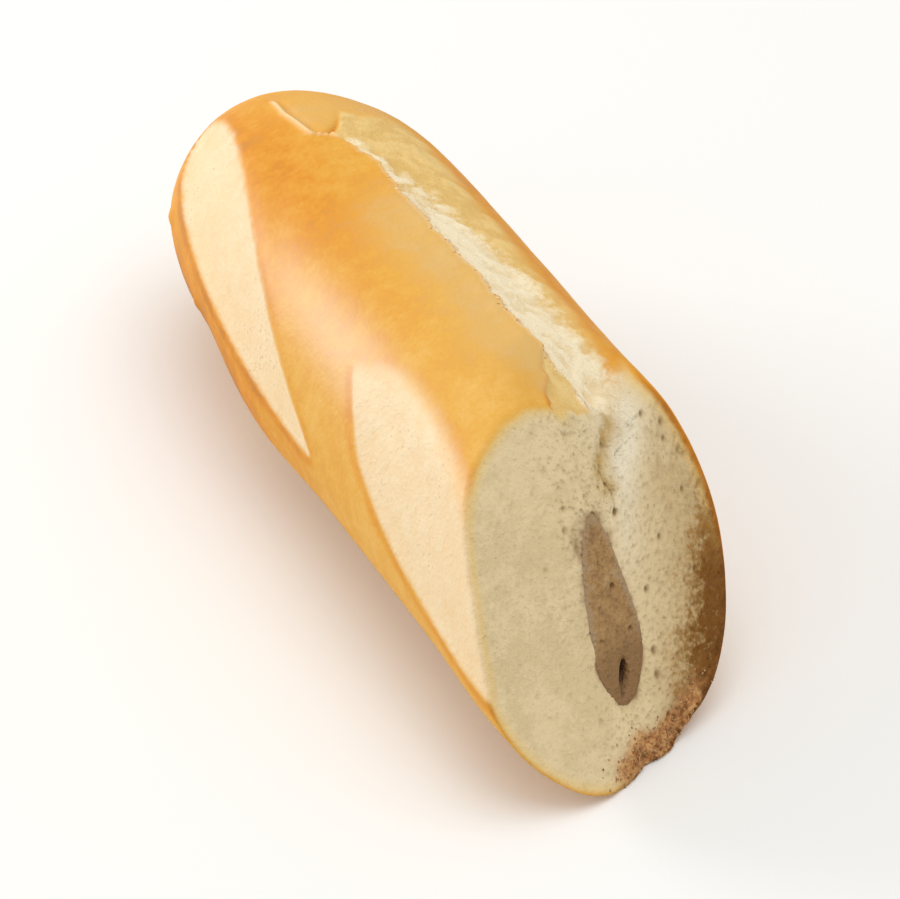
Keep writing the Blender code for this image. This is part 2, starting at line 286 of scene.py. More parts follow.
def cell_value(x, y, z, seed):
    """A steady number from 0 to 1 for each cell of a lattice."""
    mixed = (x * 374761393 + y * 668265263 + z * 1440662683 + seed * 974711) & BITS
    mixed = ((mixed ^ (mixed >> 13)) * 1274126177) & BITS
    mixed = ((mixed ^ (mixed >> 15)) * 968897) & BITS
    return (mixed ^ (mixed >> 16)) / BITS


def soft_noise(points, size, seed):
    """Smooth noise from -1 to 1, with hills about one size wide."""
    scaled = points / size
    cell = np.floor(scaled).astype(np.int64)
    share = smooth_step(scaled - cell)
    total = np.zeros(points.shape[:-1])
    for corner in range(8):
        step = ((corner >> 2) & 1, (corner >> 1) & 1, corner & 1)
        weight = np.ones(points.shape[:-1])
        for axis in range(3):
            along = share[..., axis]
            weight = weight * (along if step[axis] else 1 - along)
        value = cell_value(
            cell[..., 0] + step[0], cell[..., 1] + step[1], cell[..., 2] + step[2], seed
        )
        total += weight * value
    return 2 * total - 1


def rough_noise(points, size, octaves, seed):
    """Noise with finer hills on its hills, each layer turned against the last."""
    total = np.zeros(points.shape[:-1])
    strength = 1.0
    reach = 0.0
    for octave in range(octaves):
        points = points @ TILTS
        total += strength * soft_noise(points, size / 2**octave, seed + octave)
        reach += strength
        strength *= 0.55
    return total / reach


def line_noise(along, size, octaves, seed):
    """The same noise along one line."""
    points = np.stack([along, np.full_like(along, 0.37), np.full_like(along, 0.61)], axis=-1)
    return rough_noise(points, size, octaves, seed)


def nearest_cell(across, level, size, seed):
    """Distance to the nearest of some scattered points, and that point's own number."""
    row, column = across / size, level / size
    first_row, first_column = np.floor(row).astype(np.int64), np.floor(column).astype(np.int64)
    nearest = np.full(across.shape, 9.0)
    number = np.zeros(across.shape)
    for step in range(9):
        cell_row, cell_column = first_row + step // 3 - 1, first_column + step % 3 - 1
        place_row = cell_row + 0.1 + 0.8 * cell_value(cell_row, cell_column, 0, seed)
        place_column = cell_column + 0.1 + 0.8 * cell_value(cell_row, cell_column, 1, seed)
        far = np.hypot(row - place_row, column - place_column)
        number = np.where(far < nearest, cell_value(cell_row, cell_column, 2, seed), number)
        nearest = np.minimum(nearest, far)
    return nearest, number


# ---------------------------------------------------------------- crust


def plain_radius(along):
    """Radius of the loaf as it was shaped: a full rounded end and a long body."""
    to_shoulder = np.clip(1 - along / END_LENGTH, 0, 1)
    rounding = (1 - to_shoulder**END_FULLNESS) ** (1 / END_FULLNESS)
    slimming = 1 - SLIMMING * np.clip(along - END_LENGTH, 0, None)
    return LOAF_RADIUS * rounding * slimming


def plain_points(along, angle):
    """Places on the plain loaf, to read noise at."""
    radius = plain_radius(along)
    turn = np.radians(angle)
    return np.stack([along, radius * np.sin(turn), radius * np.cos(turn)], axis=-1)


def spots(along, angle, table):
    """Soft spots added up: each has a place, an angle, a strength, a length and a spread."""
    total = np.zeros_like(along)
    for place, middle, strength, length, spread in table:
        off_along = (along - place) / length
        off_round = angle_between(angle, middle) / spread
        total += strength * np.exp(-(off_along**2) - off_round**2)
    return total


def slash_place(slash, along, angle):
    """Place in a slash: 0..1 along it, degrees off its middle, half its width there."""
    start, start_angle, end, end_angle, half_width, fullness, point, _ = slash
    run = (along - start) / (end - start)
    inside = np.clip(run, 0, 1)
    middle = start_angle + (end_angle - start_angle) * inside**SLASH_DRIFT
    width = half_width * np.sin(np.pi * inside**fullness) ** point
    return run, angle_between(angle, middle), width


def slash_relief(along, angle):
    """Each slash lies below the crust, sharp on one side and soft on the other."""
    height = np.zeros_like(along)
    for slash in SLASHES:
        run, off, width = slash_place(slash, along, angle)
        across = off / np.maximum(width, 1.0)
        openness = width / slash[4]
        faded = slash[7] > 2
        sharp_side = np.clip(1 - np.abs(across) ** 6, 0, 1)
        soft_side = np.clip(1 - across**2, 0, 1) ** (2 if faded else 1)
        leaf = np.where(across < 0, sharp_side, soft_side)
        ridge = np.exp(-(((across - 1.25) / 0.35) ** 2)) * (0 if faded else 1)
        openness = openness * smooth_step(run / 0.25) if faded else openness
        in_run = (run > 0) & (run < 1)
        height += np.where(in_run, (SLASH_RIDGE * ridge - SLASH_DEPTH * leaf) * openness, 0)
    return height


def slash_edges(along, angle):
    """Distances to the left and right edge of a slash, positive inside, and how soft it is."""
    left = np.full_like(along, -50.0)
    right = np.full_like(along, -50.0)
    soft = np.ones_like(along)
    reach = np.radians(plain_radius(along)) / MM
    for slash in SLASHES:
        run, off, width = slash_place(slash, along, angle)
        beyond = np.maximum(np.maximum(-run, run - 1), 0) * (slash[2] - slash[0]) / MM
        if slash[7] > 2:
            beyond = beyond + FADED_TIP * (1 - smooth_step(run / 0.22))
        from_left = (off + width) * reach - beyond
        from_right = (width - off) * reach - beyond
        nearer = np.minimum(from_left, from_right) > np.minimum(left, right)
        left = np.where(nearer, from_left, left)
        right = np.where(nearer, from_right, right)
        soft = np.where(nearer, slash[7], soft)
    return left, right, soft


def lip_angle(along):
    """Angle of the torn lip: a curl near the end, a step, then a long ragged run."""
    places, angles = np.array(LIP_CORNERS).T
    middle = np.interp(along / MM, places, angles)
    wander = np.sin(FULL_TURN * along / (13 * MM) + 1.0)
    wander += 0.7 * np.sin(FULL_TURN * along / (6.1 * MM) + 2.0)
    ragged = smooth_step((along - 26 * MM) / (6 * MM))
    teeth = line_noise(along, 3.2 * MM, 3, 11) + 0.35 * line_noise(along, 1.3 * MM, 1, 17)
    return middle + (LIP_WANDER * wander + LIP_TEETH * teeth) * ragged


def arc_distance(along, angle):
    """How far past the arc where the torn band starts."""
    turn = np.clip((angle_between(angle, ARC_ANGLE)) / ARC_SPREAD, -1.0, 1.6)
    return along - ARC_PLACE + ARC_BEND * turn**2


def seam_opening(along, angle):
    """How far the seam has opened: 0 before its arc, 1 a little way past it."""
    return smooth_step(arc_distance(along, angle) / (13 * MM))


def peel_place(along, past_lip):
    """0..1 over the peeled corner from its outer edge to the lip, and how far it has opened."""
    opening = np.clip((along - PEEL_START) / PEEL_LENGTH, 0, 1.3)
    spread = np.maximum(PEEL_SPREAD * opening, 0.01)
    return (past_lip + spread) / spread, opening


def groove_place(along):
    """Angle and depth of the seam's lowest line."""
    places, angles, depths = np.array(GROOVE_CORNERS).T
    return np.interp(along / MM, places, angles), np.interp(along / MM, places, depths) * MM


def before_cut(along, angle, radius):
    """Distance along the loaf that is left to the knife's plane."""
    turn = np.radians(angle)
    return cut_plane(radius * np.sin(turn), radius * np.cos(turn)) - along


def near_cut(along, angle):
    """0 well away from the cut, 1 at it."""
    left_over = before_cut(along, angle, 0.94 * LOAF_RADIUS)
    return smooth_step((PRESSED_LENGTH - left_over) / (PRESSED_LENGTH + MM))


def pressed_depth(angle):
    """How far the crust is pressed in at the cut."""
    angles, depths = np.array(PRESSED).T
    return np.interp(angle_between(angle, 0), angles, depths) * MM


def open_crumb(along, angle):
    """1 where the torn seam turns into the crumb of the cut, 0 away from it."""
    reach = (1.2 + 3.8 * smooth_step((angle - 33) / 7)) * MM
    seam = smooth_step((angle - 20) / 8) * smooth_step((49 - angle) / 4)
    left_over = before_cut(along, angle, 0.97 * LOAF_RADIUS - pressed_depth(angle))
    return seam * smooth_step((reach + edge_rounding(angle) - left_over) / reach)


def seam_relief(along, angle):
    """The seam drops below a raised lip to its lowest line and climbs back to plain crust."""
    past_lip = angle_between(angle, lip_angle(along))
    opened = seam_opening(along, angle)
    lowest, depth = groove_place(along)
    bottom = lowest - lip_angle(along)
    wall = GROOVE_WALL * smooth_step(past_lip / 1.5)
    slope = (1 - GROOVE_WALL) * smooth_step(past_lip / bottom)
    climb = 1 - smooth_step((past_lip - bottom) / GROOVE_RISE)
    drop = depth * (wall + slope) * climb * smooth_step(opened * 3)
    lip = opened * LIP_RISE * hill(past_lip + LIP_WIDTH / 2, LIP_WIDTH)
    height = np.where(past_lip < 0.5, lip, 0) - drop

    at_cut = near_cut(along, angle)
    height = height * (1 - at_cut) - pressed_depth(angle) * at_cut
    share, opening = peel_place(along, past_lip)
    peeled = smooth_step(share * PEEL_SPREAD * opening / 1.3) * (opening > 0)
    in_floor = smooth_step(past_lip / 1.5) * (1 - smooth_step((past_lip - bottom) / 6))
    height = height - PEEL_DEPTH * (peeled * (1 - smooth_step(past_lip / 1.5)) + in_floor * at_cut)

    in_curl = smooth_step((along - 12 * MM) / (4 * MM)) * smooth_step((30 * MM - along) / (2 * MM))
    curl = CURL_RISE * hill(past_lip + 0.3, 1.2) - 0.25 * MM * hill(past_lip - 3.0, 1.6)
    near_arc = hill(arc_distance(along, angle), 0.6 * MM) * hill(angle_between(angle, 1), 6)
    return height + curl * in_curl - 0.4 * MM * near_arc


def white_share(along, angle):
    """1 on the pale torn crumb of the seam, 0 away from it."""
    past_lip = angle_between(angle, lip_angle(along))
    places, edges = np.array(WHITE_CORNERS).T
    ragged = 3.0 * line_noise(along, 3.5 * MM, 3, 23)
    inside = np.interp(along / MM, places, edges) + ragged - angle_between(angle, 0)
    clumps = torn_lumps(plain_points(along, angle)) * hill(along - 38 * MM, 7 * MM)
    bright = 0.35 + 0.65 * smooth_step((along - 30 * MM) / (34 * MM)) + 1.4 * clumps
    covered = smooth_step((inside + 4) / 11) * (past_lip > -1.5) * (past_lip < 90)
    return bright * covered * seam_opening(along, angle) ** 0.3


def torn_lumps(places):
    """Slanting fibres and lumps of torn crumb, about 0."""
    slanted = places @ FIBRE_SLANT
    return 0.6 * rough_noise(slanted, 1.15 * MM, 2, 41) + 0.4 * rough_noise(places, 2.2 * MM, 2, 43)


def fine_relief(along, angle):
    """Grain of the crust and the torn fibres of the seam."""
    places = plain_points(along, angle)
    grain = 0.05 * MM * rough_noise(places, 4 * MM, 3, 31)
    grain += 0.015 * MM * rough_noise(places, 0.9 * MM, 2, 37)
    past_lip = angle_between(angle, lip_angle(along))
    torn = smooth_step(past_lip / 1.5) * (1 - smooth_step((angle_between(angle, TAN_END) - 4) / TAN_FADE))
    torn = torn * seam_opening(along, angle)
    fibres = TORN_RELIEF * torn_lumps(places)
    share, opening = peel_place(along, past_lip)
    peeled = smooth_step(share * 3) * (opening > 0.02) * (past_lip < 0)
    flaked = 0.32 * MM * rough_noise(places, 1.3 * MM, 2, 47) * peeled
    return grain + flaked + fibres * torn * (0.4 + 0.6 * white_share(along, angle))


def crust_radius(along, angle):
    """Radius of the finished crust."""
    plain = plain_radius(along)
    relief = spots(along, angle, SWELLS) + slash_relief(along, angle) + seam_relief(along, angle)
    relief = relief + fine_relief(along, angle)
    return plain + relief * smooth_step(plain / RELIEF_FROM)


def crust_points(along, angle):
    """Points on the crust, tucked in under the lip and pressed flat where the loaf lies."""
    radius = crust_radius(along, angle)
    past_lip = angle_between(angle, lip_angle(along))
    tuck = LIP_UNDERCUT * hill(past_lip - 1.3, 0.9) * seam_opening(along, angle)
    tuck = tuck * smooth_step((PEEL_START + 2 * MM - along) / (5 * MM))
    turn = np.radians(angle - tuck)
    level = np.maximum(radius * np.cos(turn), REST_LEVEL)
    return np.stack([along, radius * np.sin(turn), level], axis=-1)


# ---------------------------------------------------------------- cut face


def cut_plane(across, level):
    """Where the knife's plane lies, along the loaf."""
    return CUT_DISTANCE + CUT_SLOPE_Y * across + CUT_SLOPE_Z * level


def torn_edge(angle):
    """1 where the lower edge of the cut is torn, 0 elsewhere."""
    return np.exp(-((angle_between(angle, TORN_MIDDLE) / TORN_SPREAD) ** 4))


def tear_depth(angle):
    """How far the lower edge of the cut is torn back."""
    ragged = 1 + 0.45 * line_noise(np.radians(angle), 0.14, 3, 53)
    return TORN_DEPTH * ragged * torn_edge(angle)


def edge_rounding(angle):
    """How far round the crust rolls over into the cut."""
    rolled = smooth_step((95 - np.abs(angle_between(angle, -70))) / 30)
    torn_open = smooth_step((angle - 12) / 16) * smooth_step((54 - angle) / 10)
    return EDGE_ROUNDING + (EDGE_ROLL - EDGE_ROUNDING) * rolled + SEAM_ROLL * torn_open


def rim_distance(angle):
    """Distance along the loaf at which the crust ends, for each angle."""
    along = np.full(angle.shape, CUT_DISTANCE)
    for _ in range(12):
        _, across, level = crust_points(along, angle).T
        along = cut_plane(across, level)
    return along - tear_depth(angle) - edge_rounding(angle)


def distance_to_crease(across, level):
    """Distance in the cut face from the fold that runs in from the seam."""
    place = np.stack([across, level], axis=-1)
    nearest = np.full(across.shape, 1.0)
    corners = np.array(CREASE) * MM
    for first, last in zip(corners, corners[1:]):
        run = last - first
        share = np.clip(((place - first) @ run) / (run @ run), 0, 1)
        foot = first + share[..., None] * run
        nearest = np.minimum(nearest, np.linalg.norm(place - foot, axis=-1))
    return nearest


def face_depth(across, level):
    """Relief of the cut crumb: a gentle unevenness and the crease, wide above, fine below."""
    uneven = 0.16 * MM * np.sin(across / (1.9 * MM) + 1.3) * np.sin(level / (2.3 * MM))
    wide = smooth_step((level - 7 * MM) / (4 * MM))
    width = CREASE_WIDTH * (0.45 + 0.85 * wide)
    crease = CREASE_DEPTH * (0.45 + 0.35 * wide) * hill(distance_to_crease(across, level), width)
    return crease + uneven


def right_share(angle):
    """1 on the side of the cut that is browned deep, 0 on the other."""
    return smooth_step((angle - 36) / 22) * smooth_step((176 - angle) / 40)


def rim_thickness(angle):
    """Thickness in mm of the crust that shows at the cut, none where the seam is torn open."""
    at_seam = smooth_step((angle - 4) / 8) * smooth_step((46 - angle) / 5)
    return 0.30 + 0.50 * right_share(angle) - 1.5 * at_seam


def crumb_pores(across, level, coarse):
    """Depth of the crumb's pores: small cells of three sizes, and a few large holes."""
    spot = np.stack([np.zeros_like(across), across, level], axis=-1)
    patchy = 0.55 + 0.9 * rough_noise(spot, 3.6 * MM, 2, 91)
    depth = np.zeros_like(across)
    for size, share, seed in ((0.50 * MM, 0.55, 5), (0.85 * MM, 0.34, 6), (1.5 * MM, 0.14, 7)):
        far, number = nearest_cell(across, 0.82 * level, size, seed)
        open_cell = smooth_step((share * (0.4 + coarse) * (0.6 + 0.4 * patchy) - number) / 0.08)
        radius = 0.26 + 0.20 * number / share
        hole = np.clip(1 - (far / radius) ** 2, 0, 1)
        depth = np.maximum(depth, (0.16 + 0.22 * coarse) * size * open_cell * hole)
    for y, z, half_width, half_height in LARGE_PORES:
        far = np.hypot((across / MM - y) / half_width, (level / MM - z) / half_height)
        hole = 0.55 * min(half_width, half_height) + 0.06
        depth = np.maximum(depth, hole * MM * np.clip(1 - far**2, 0, 1))
    return depth


# ---------------------------------------------------------------- filling


def lens_outline(angle, scale, grow):
    """Section of the filling as Y and Z, grown outwards by a clearance."""
    turn = np.radians(angle)

    def outline(turn):
        height = PATE_HALF_HEIGHT * np.cos(turn)
        fullness = 1 - PATE_SAG * np.cos(turn)
        waver = PATE_WAVER * np.sin(3 * turn + 0.8) * np.sin(turn) ** 2
        side = np.sign(np.sin(turn)) * np.abs(np.sin(turn)) ** PATE_POINT
        width = PATE_HALF_WIDTH * fullness * side + waver
        return np.stack([width + PATE_LEAN * height, height], axis=-1) * scale

    nudge = 0.01
    tangent = outline(turn + nudge) - outline(turn - nudge)
    outward = np.stack([-tangent[:, 1], tangent[:, 0]], axis=-1)
    outward /= np.linalg.norm(outward, axis=-1, keepdims=True)
    middle = np.array([PATE_MIDDLE_Y, PATE_MIDDLE_Z])
    return middle + outline(turn) + outward * np.asarray(grow)[..., None]


def mouth_outline(angle):
    """Mouth of the pocket, ragged where the crumb clings to the paste."""
    smooth = lens_outline(angle, 1.0, GAP)
    spot = np.stack([np.zeros(len(smooth)), *smooth.T], axis=-1)
    ragged = MOUTH_RAGGED * rough_noise(spot, 1.5 * MM, 3, 97)
    return lens_outline(angle, 1.0, GAP + ragged)


def distance_to_mouth(place):
    """Distance in the cut face from the mouth of the pocket."""
    edge = mouth_outline(np.arange(0, 360, 2.0))
    return np.linalg.norm(place[:, None] - edge, axis=-1).min(axis=1)


def lens_scale(along):
    """The filling keeps its section and rounds off over the last stretch."""
    to_end = np.clip(1 - (along - PATE_END) / PATE_TAPER, 0, 1)
    return np.sqrt(1 - to_end**2)


def filling_rings(angle, grow, count, front):
    """Rings of the filling's side, from the cut to the deep end."""
    rings = []
    reach = CUT_DISTANCE - PATE_END
    for share in np.linspace(0, 1, count + 1)[:-1]:
        along = CUT_DISTANCE - reach * np.sin(share * np.pi / 2)
        section = lens_outline(angle, lens_scale(along), grow)
        slant = front - CUT_DISTANCE
        lean = 1 - smooth_step(share * 2)
        place = along + slant * lean
        rings.append(np.column_stack([place, section]))
    deep_end = np.array([PATE_END - np.mean(grow), PATE_MIDDLE_Y, PATE_MIDDLE_Z])
    return rings, deep_end


def cavity_depth(across, level):
    """The cavity near the lower end of the filling, whose depth also sets its painted shade."""
    up = level - CAVITY_Z
    off_across = (across - CAVITY_Y - CAVITY_LEAN * up) / CAVITY_WIDTH
    return CAVITY_DEPTH * np.exp(-((off_across**2 + (up / CAVITY_HEIGHT) ** 2) ** 1.5))


def paste_depth(across, level):
    """Relief of the paste: mottled and grainy, with small pits and the cavity."""
    spot = np.stack([np.zeros_like(across), across, level], axis=-1)
    depth = 0.15 * MM * rough_noise(spot, 1.5 * MM, 4, 89) + cavity_depth(across, level)
    for y, z, half in PATE_PITS:
        far = np.hypot(across / MM - y, level / MM - z) / half
        depth = depth + 1.3 * half * MM * np.clip(1 - far**2, 0, 1)
    return depth


# ---------------------------------------------------------------- meshes


def ring_faces(near, far, count):
    """Four-sided faces between two rings of one count."""
    place = np.arange(count)
    after = (place + 1) % count
    return list(zip(near + place, near + after, far + after, far + place))


def joint_faces(near, near_angles, far, far_angles):
    """Three-sided faces between two rings that are divided differently."""
    faces = []
    i, j = 0, 0
    near_ends = np.append(near_angles, near_angles[0] + 360)
    far_ends = np.append(far_angles, far_angles[0] + 360)
    while i < len(near_angles) or j < len(far_angles):
        a, b = near + i % len(near_angles), far + j % len(far_angles)
        use_near = j == len(far_angles)
        if i < len(near_angles) and j < len(far_angles):
            use_near = near_ends[i + 1] <= far_ends[j + 1]
        if use_near:
            i += 1
            faces.append((a, near + i % len(near_angles), b))
        else:
            j += 1
            faces.append((a, far + j % len(far_angles), b))
    return faces


def wrap(name, first_point, bands, last_point, paint):
    """A closed skin: bands of rings with a point at each end, and its painted values."""
    rings = [ring for _, band in bands for ring in band]
    points = np.vstack([[first_point], *rings, [last_point]])
    last = len(points) - 1
    count = len(bands[0][0])
    place = np.arange(count)
    faces = [(0, 1 + (k + 1) % count, 1 + k) for k in place]
    start = 1
    previous = None
    for angles, band in bands:
        if previous is not None:
            faces.extend(joint_faces(previous[0], previous[1], start, angles))
        count = len(angles)
        for number in range(len(band)):
            if number:
                faces.extend(ring_faces(start, start + count, count))
                start += count
        previous = (start, angles)
        start += count
    faces.extend((last, previous[0] + k, previous[0] + (k + 1) % count) for k in range(count))
    data = bpy.data.meshes.new(name)
    data.from_pydata(points.tolist(), [], [tuple(int(n) for n in face) for face in faces])
    for label, values in paint.items():
        layer = data.attributes.new(label, "FLOAT", "POINT")
        layer.data.foreach_set("value", values.astype(np.float32))
    mesh = bmesh.new()
    mesh.from_mesh(data)
    bmesh.ops.recalc_face_normals(mesh, faces=mesh.faces)
    mesh.to_mesh(data)
    mesh.free()
    data.shade_smooth()
    piece = bpy.data.objects.new(name, data)
    bpy.context.scene.collection.objects.link(piece)
    return piece


def crust_paint(along, angle):
    """Painted values of the crust: how baked, where it is slashed and torn, and where painted highlight and
    painted shade lie.
    """
    left, right, soft = slash_edges(along, angle)
    past_lip = angle_between(angle, lip_angle(along))
    past_mm = past_lip * np.radians(plain_radius(along)) / MM
    opened = seam_opening(along, angle)
    arc_blur = (1.2 + 7 * smooth_step((angle_between(angle, 8)) / 10)) * MM
    after_arc = smooth_step(arc_distance(along, angle) / arc_blur)
    share, opening = peel_place(along, past_lip)
    peeled = smooth_step(share * PEEL_SPREAD * opening / 1.2) * (opening > 0.02) * (past_lip < 1.2)
    wavy = 3 * line_noise(along, 7 * MM, 3, 29)
    tanned = after_arc * (1 - smooth_step((angle_between(angle, TAN_END) - wavy) / TAN_FADE))
    inside_edge = np.minimum(left, right)
    beside = hill(left + 0.9, 1.0) * (right > 0) + 0.5 * hill(right + 1.0, 1.1) * (left > 0)
    baked = 0.40 + spots(along, angle, BROWNING) + 0.26 * beside * (inside_edge < 0.3)
    under_loaf = smooth_step((62 - np.abs(angle_between(angle, 128))) / 34)
    baked = baked + 0.10 * under_loaf
    in_curl = smooth_step((along - 12.5 * MM) / (2 * MM)) * smooth_step((30 * MM - along) / MM)
    # Painted shadow in the small groove along the arc where the torn band starts, added to the baked value.
    arc_groove_shade = hill(arc_distance(along, angle) + 0.1 * MM, 0.4 * MM) * hill(angle_between(angle, 1), 6)
    # Near the lip and in the pocket behind the arc the crust is duller and more olive: partly its own colour and
    # partly painted shade.
    in_pocket = (past_lip > 0) * (past_lip < 90) * (1 - after_arc) * hill(along - 22 * MM, 9 * MM)
    in_pocket = in_pocket * smooth_step((58 - angle_between(angle, 0)) / 30)
    near_lip = hill(past_lip + 6, 17) * smooth_step((along - 36 * MM) / (18 * MM)) * (past_lip < 0)
    tiny_lip = hill(past_lip + 0.8, 0.9) * smooth_step((along - 30 * MM) / (6 * MM))
    # A band along the top where the key light's reflection falls: glossier crust, and a painted highlight in its
    # colour.
    gloss_and_painted_highlight = hill(angle_between(angle, -48), 21) * (0.35 + 0.65 * hill(along - 67 * MM, 28 * MM))
    peel_edge = hill(share * PEEL_SPREAD * opening + 0.5, 0.9) * (opening > 0.1) * (past_lip < 0)
    return {
        "baked": baked + 0.7 * arc_groove_shade + 0.5 * peel_edge,
        "gloss_and_painted_highlight": gloss_and_painted_highlight * (past_lip < 0),
        "sallow_and_shaded": np.clip(0.75 * near_lip + 0.5 * in_pocket, 0, 1),
        "slash_left": np.minimum(left, WELL_INSIDE),
        "slash_right": np.minimum(right, WELL_INSIDE),
        "slash_soft": soft,
        "lip_past": np.clip(past_mm, -9, 40),
        "white": white_share(along, angle),
        "tanned": np.maximum(tanned * (past_lip > -1.5), 0) + 10 * peeled,
        "pale_lip": np.clip(in_curl * hill(past_lip + 0.4, 1.1) + 0.55 * tiny_lip, 0, 1),
        "lip_shade": smooth_step((along - 42 * MM) / (12 * MM)),
        "lumpy": torn_lumps(plain_points(along, angle)),
        "on_cut": open_crumb(along, angle),
        "rim_crust": rim_thickness(angle),
        "whiter": 0.8 * white_share(along, angle),
        "pitted": hill(along - 49 * MM, 9 * MM) * hill(angle_between(angle, -77), 9),
        "crumbly": 0.0 * along,
        "flaky": opened * hill(past_lip + 0.2, 1.0) * smooth_step((along - 34 * MM) / (10 * MM)),
    }


def face_paint(place, rim, pores, at_rim):
    """Painted values of the cut face: crumb, toasted near the crust with painted shade over the right side, and
    painted shade in the pores and the crease.
    """
    across, level = place.T
    angle = np.degrees(np.arctan2(across, level))
    from_rim = np.linalg.norm(rim - place, axis=-1)
    spot = np.stack([np.zeros_like(across), across, level], axis=-1)
    speckle = rough_noise(spot, 1.1 * MM, 3, 71)
    right = right_share(angle)
    torn = torn_edge(angle) * smooth_step((TORN_REACH - from_rim) / (4 * MM))
    # Darker towards the low right: the browner base, and partly painted shade.
    low_side = smooth_step((angle - 72) / 40)
    near = (0.28 + 1.50 * low_side) * np.exp(-from_rim / ((1.8 + 1.9 * low_side) * MM))
    # Painted shade over the right side of the cut face.
    far = (0.37 + 0.13 * low_side) * np.exp(-((from_rim / (9 * MM)) ** 2)) * smooth_step((angle - 44) / 30)
    toasted_and_shaded = right * (near + far) * (1 + 0.5 * speckle)
    fold = distance_to_crease(across, level)
    fold_line = hill(fold - 0.05 * MM * speckle, 0.20 * MM) * smooth_step((11.5 * MM - level) / (3 * MM))
    olive = hill(fold, 1.1 * MM) * smooth_step((level - 5.5 * MM) / (2 * MM))
    to_mouth = distance_to_mouth(place)
    upper = smooth_step((level + 6 * MM) / (8 * MM))
    stained = np.exp(-to_mouth / ((0.35 + 0.55 * upper) * MM)) * (1.05 + 0.9 * speckle)
    grey_patch = np.hypot((across + 1.2 * MM) / 1.8, (level - 5.0 * MM) / 2.4) / MM
    stained = stained + 0.30 * np.exp(-(grey_patch**2)) * (0.8 + 1.6 * speckle)
    band = across - 5.2 * MM - 0.32 * level
    whiter = 0.8 * hill(band, 2.2 * MM) * smooth_step((level + 5 * MM) / (14 * MM))
    notch = np.hypot(across - 9.0 * MM, level - 11.8 * MM)
    values = dict(at_rim)
    values.update({
        "on_cut": np.ones_like(across),
        "rim_far": from_rim / MM,
        "rim_crust": rim_thickness(angle),
        "toasted_and_shaded": np.clip(toasted_and_shaded, 0, 1.3),
        # Painted shade in the pores and along the crease, deeper where they are deeper.
        "hollow_shade": np.clip(pores / (0.62 * MM) + 0.75 * fold_line, 0, 1),
        "stained": np.clip(stained, 0, 1),
        "whiter": np.clip(whiter + hill(notch, 3.0 * MM), 0, 1),
        "golden": np.clip(0.72 * olive * (1 + 0.9 * speckle), 0, 1),
        "baked": at_rim["baked"] + 0.35 * right + 0.15 * speckle,
        "torn": torn,
        "browned": np.clip(0.25 * right + 0.75 * right * low_side + torn, 0, 1),
        "crumbly": np.clip(0.4 * torn, 0, 1),
        "flaky": np.zeros_like(across),
    })
    return values


def crust_columns():
    """Angles of the columns round the crust, closest together at the seam."""
    ends = [first for first, _ in COLUMNS[1:]] + [COLUMNS[0][0] + 360]
    parts = []
    for (first, step), end in zip(COLUMNS, ends):
        parts.append(np.linspace(first, end, round((end - first) / step), endpoint=False))
    return np.concatenate(parts)


def face_rings():
    """Rings and painted values of the cut face, from the rim in to the mouth of the pocket."""
    angle = np.linspace(COLUMNS[0][0], COLUMNS[0][0] + 360, FACE_COLUMNS, endpoint=False)
    rim = rim_distance(angle)
    outer = crust_points(rim, angle)[:, 1:]
    at_rim = crust_paint(rim, angle)
    mouth = mouth_outline(angle)
    shares = np.linspace(0, 1, FACE_RINGS + 1)[1:]
    places = np.array([outer * (1 - share) + mouth * share for share in shares])
    coarse = smooth_step((places[..., 0] + 11 * MM) / (13 * MM))
    pores = crumb_pores(places[..., 0], places[..., 1], 0.25 + 0.75 * coarse)
    rings = []
    paints = []
    rounding = edge_rounding(angle)
    for place, pore in zip(places, pores):
        from_rim = np.linalg.norm(outer - place, axis=-1)
        place_angle = np.degrees(np.arctan2(*place.T))
        torn = tear_depth(angle) * np.clip(1 - from_rim / TORN_REACH, 0, 1) ** 1.5
        spot = np.stack([np.zeros(len(place)), *place.T], axis=-1)
        crumbly = torn_edge(place_angle) * smooth_step((TORN_REACH - from_rim) / (4 * MM))
        fuzzy = right_share(place_angle) * np.exp(-from_rim / (3.2 * MM))
        rough = 0.05 * MM * rough_noise(spot, 1.2 * MM, 3, 73)
        rough = rough + 0.95 * MM * crumbly * rough_noise(spot, 2.5 * MM, 4, 79)
        rough = rough + 0.20 * MM * fuzzy * rough_noise(spot, 1.1 * MM, 3, 77)
        at_seam = smooth_step((place_angle - 12) / 16) * smooth_step((54 - place_angle) / 10)
        inside = smooth_step(from_rim / ((0.8 + 2.6 * at_seam) * MM))
        to_roll = np.clip(1 - from_rim / rounding, 0, 1)
        roll = rounding * (1 - np.sqrt(1 - to_roll**2))
        dip = MOUTH_ROUNDING * np.exp(-np.linalg.norm(mouth - place, axis=-1) / MOUTH_REACH)
        depth = face_depth(*place.T) + torn + (rough + pore) * inside + roll + dip
        rings.append(np.column_stack([cut_plane(*place.T) - depth, place]))
        paints.append(face_paint(place, outer, pore * inside, at_rim))
    return angle, rings, paints


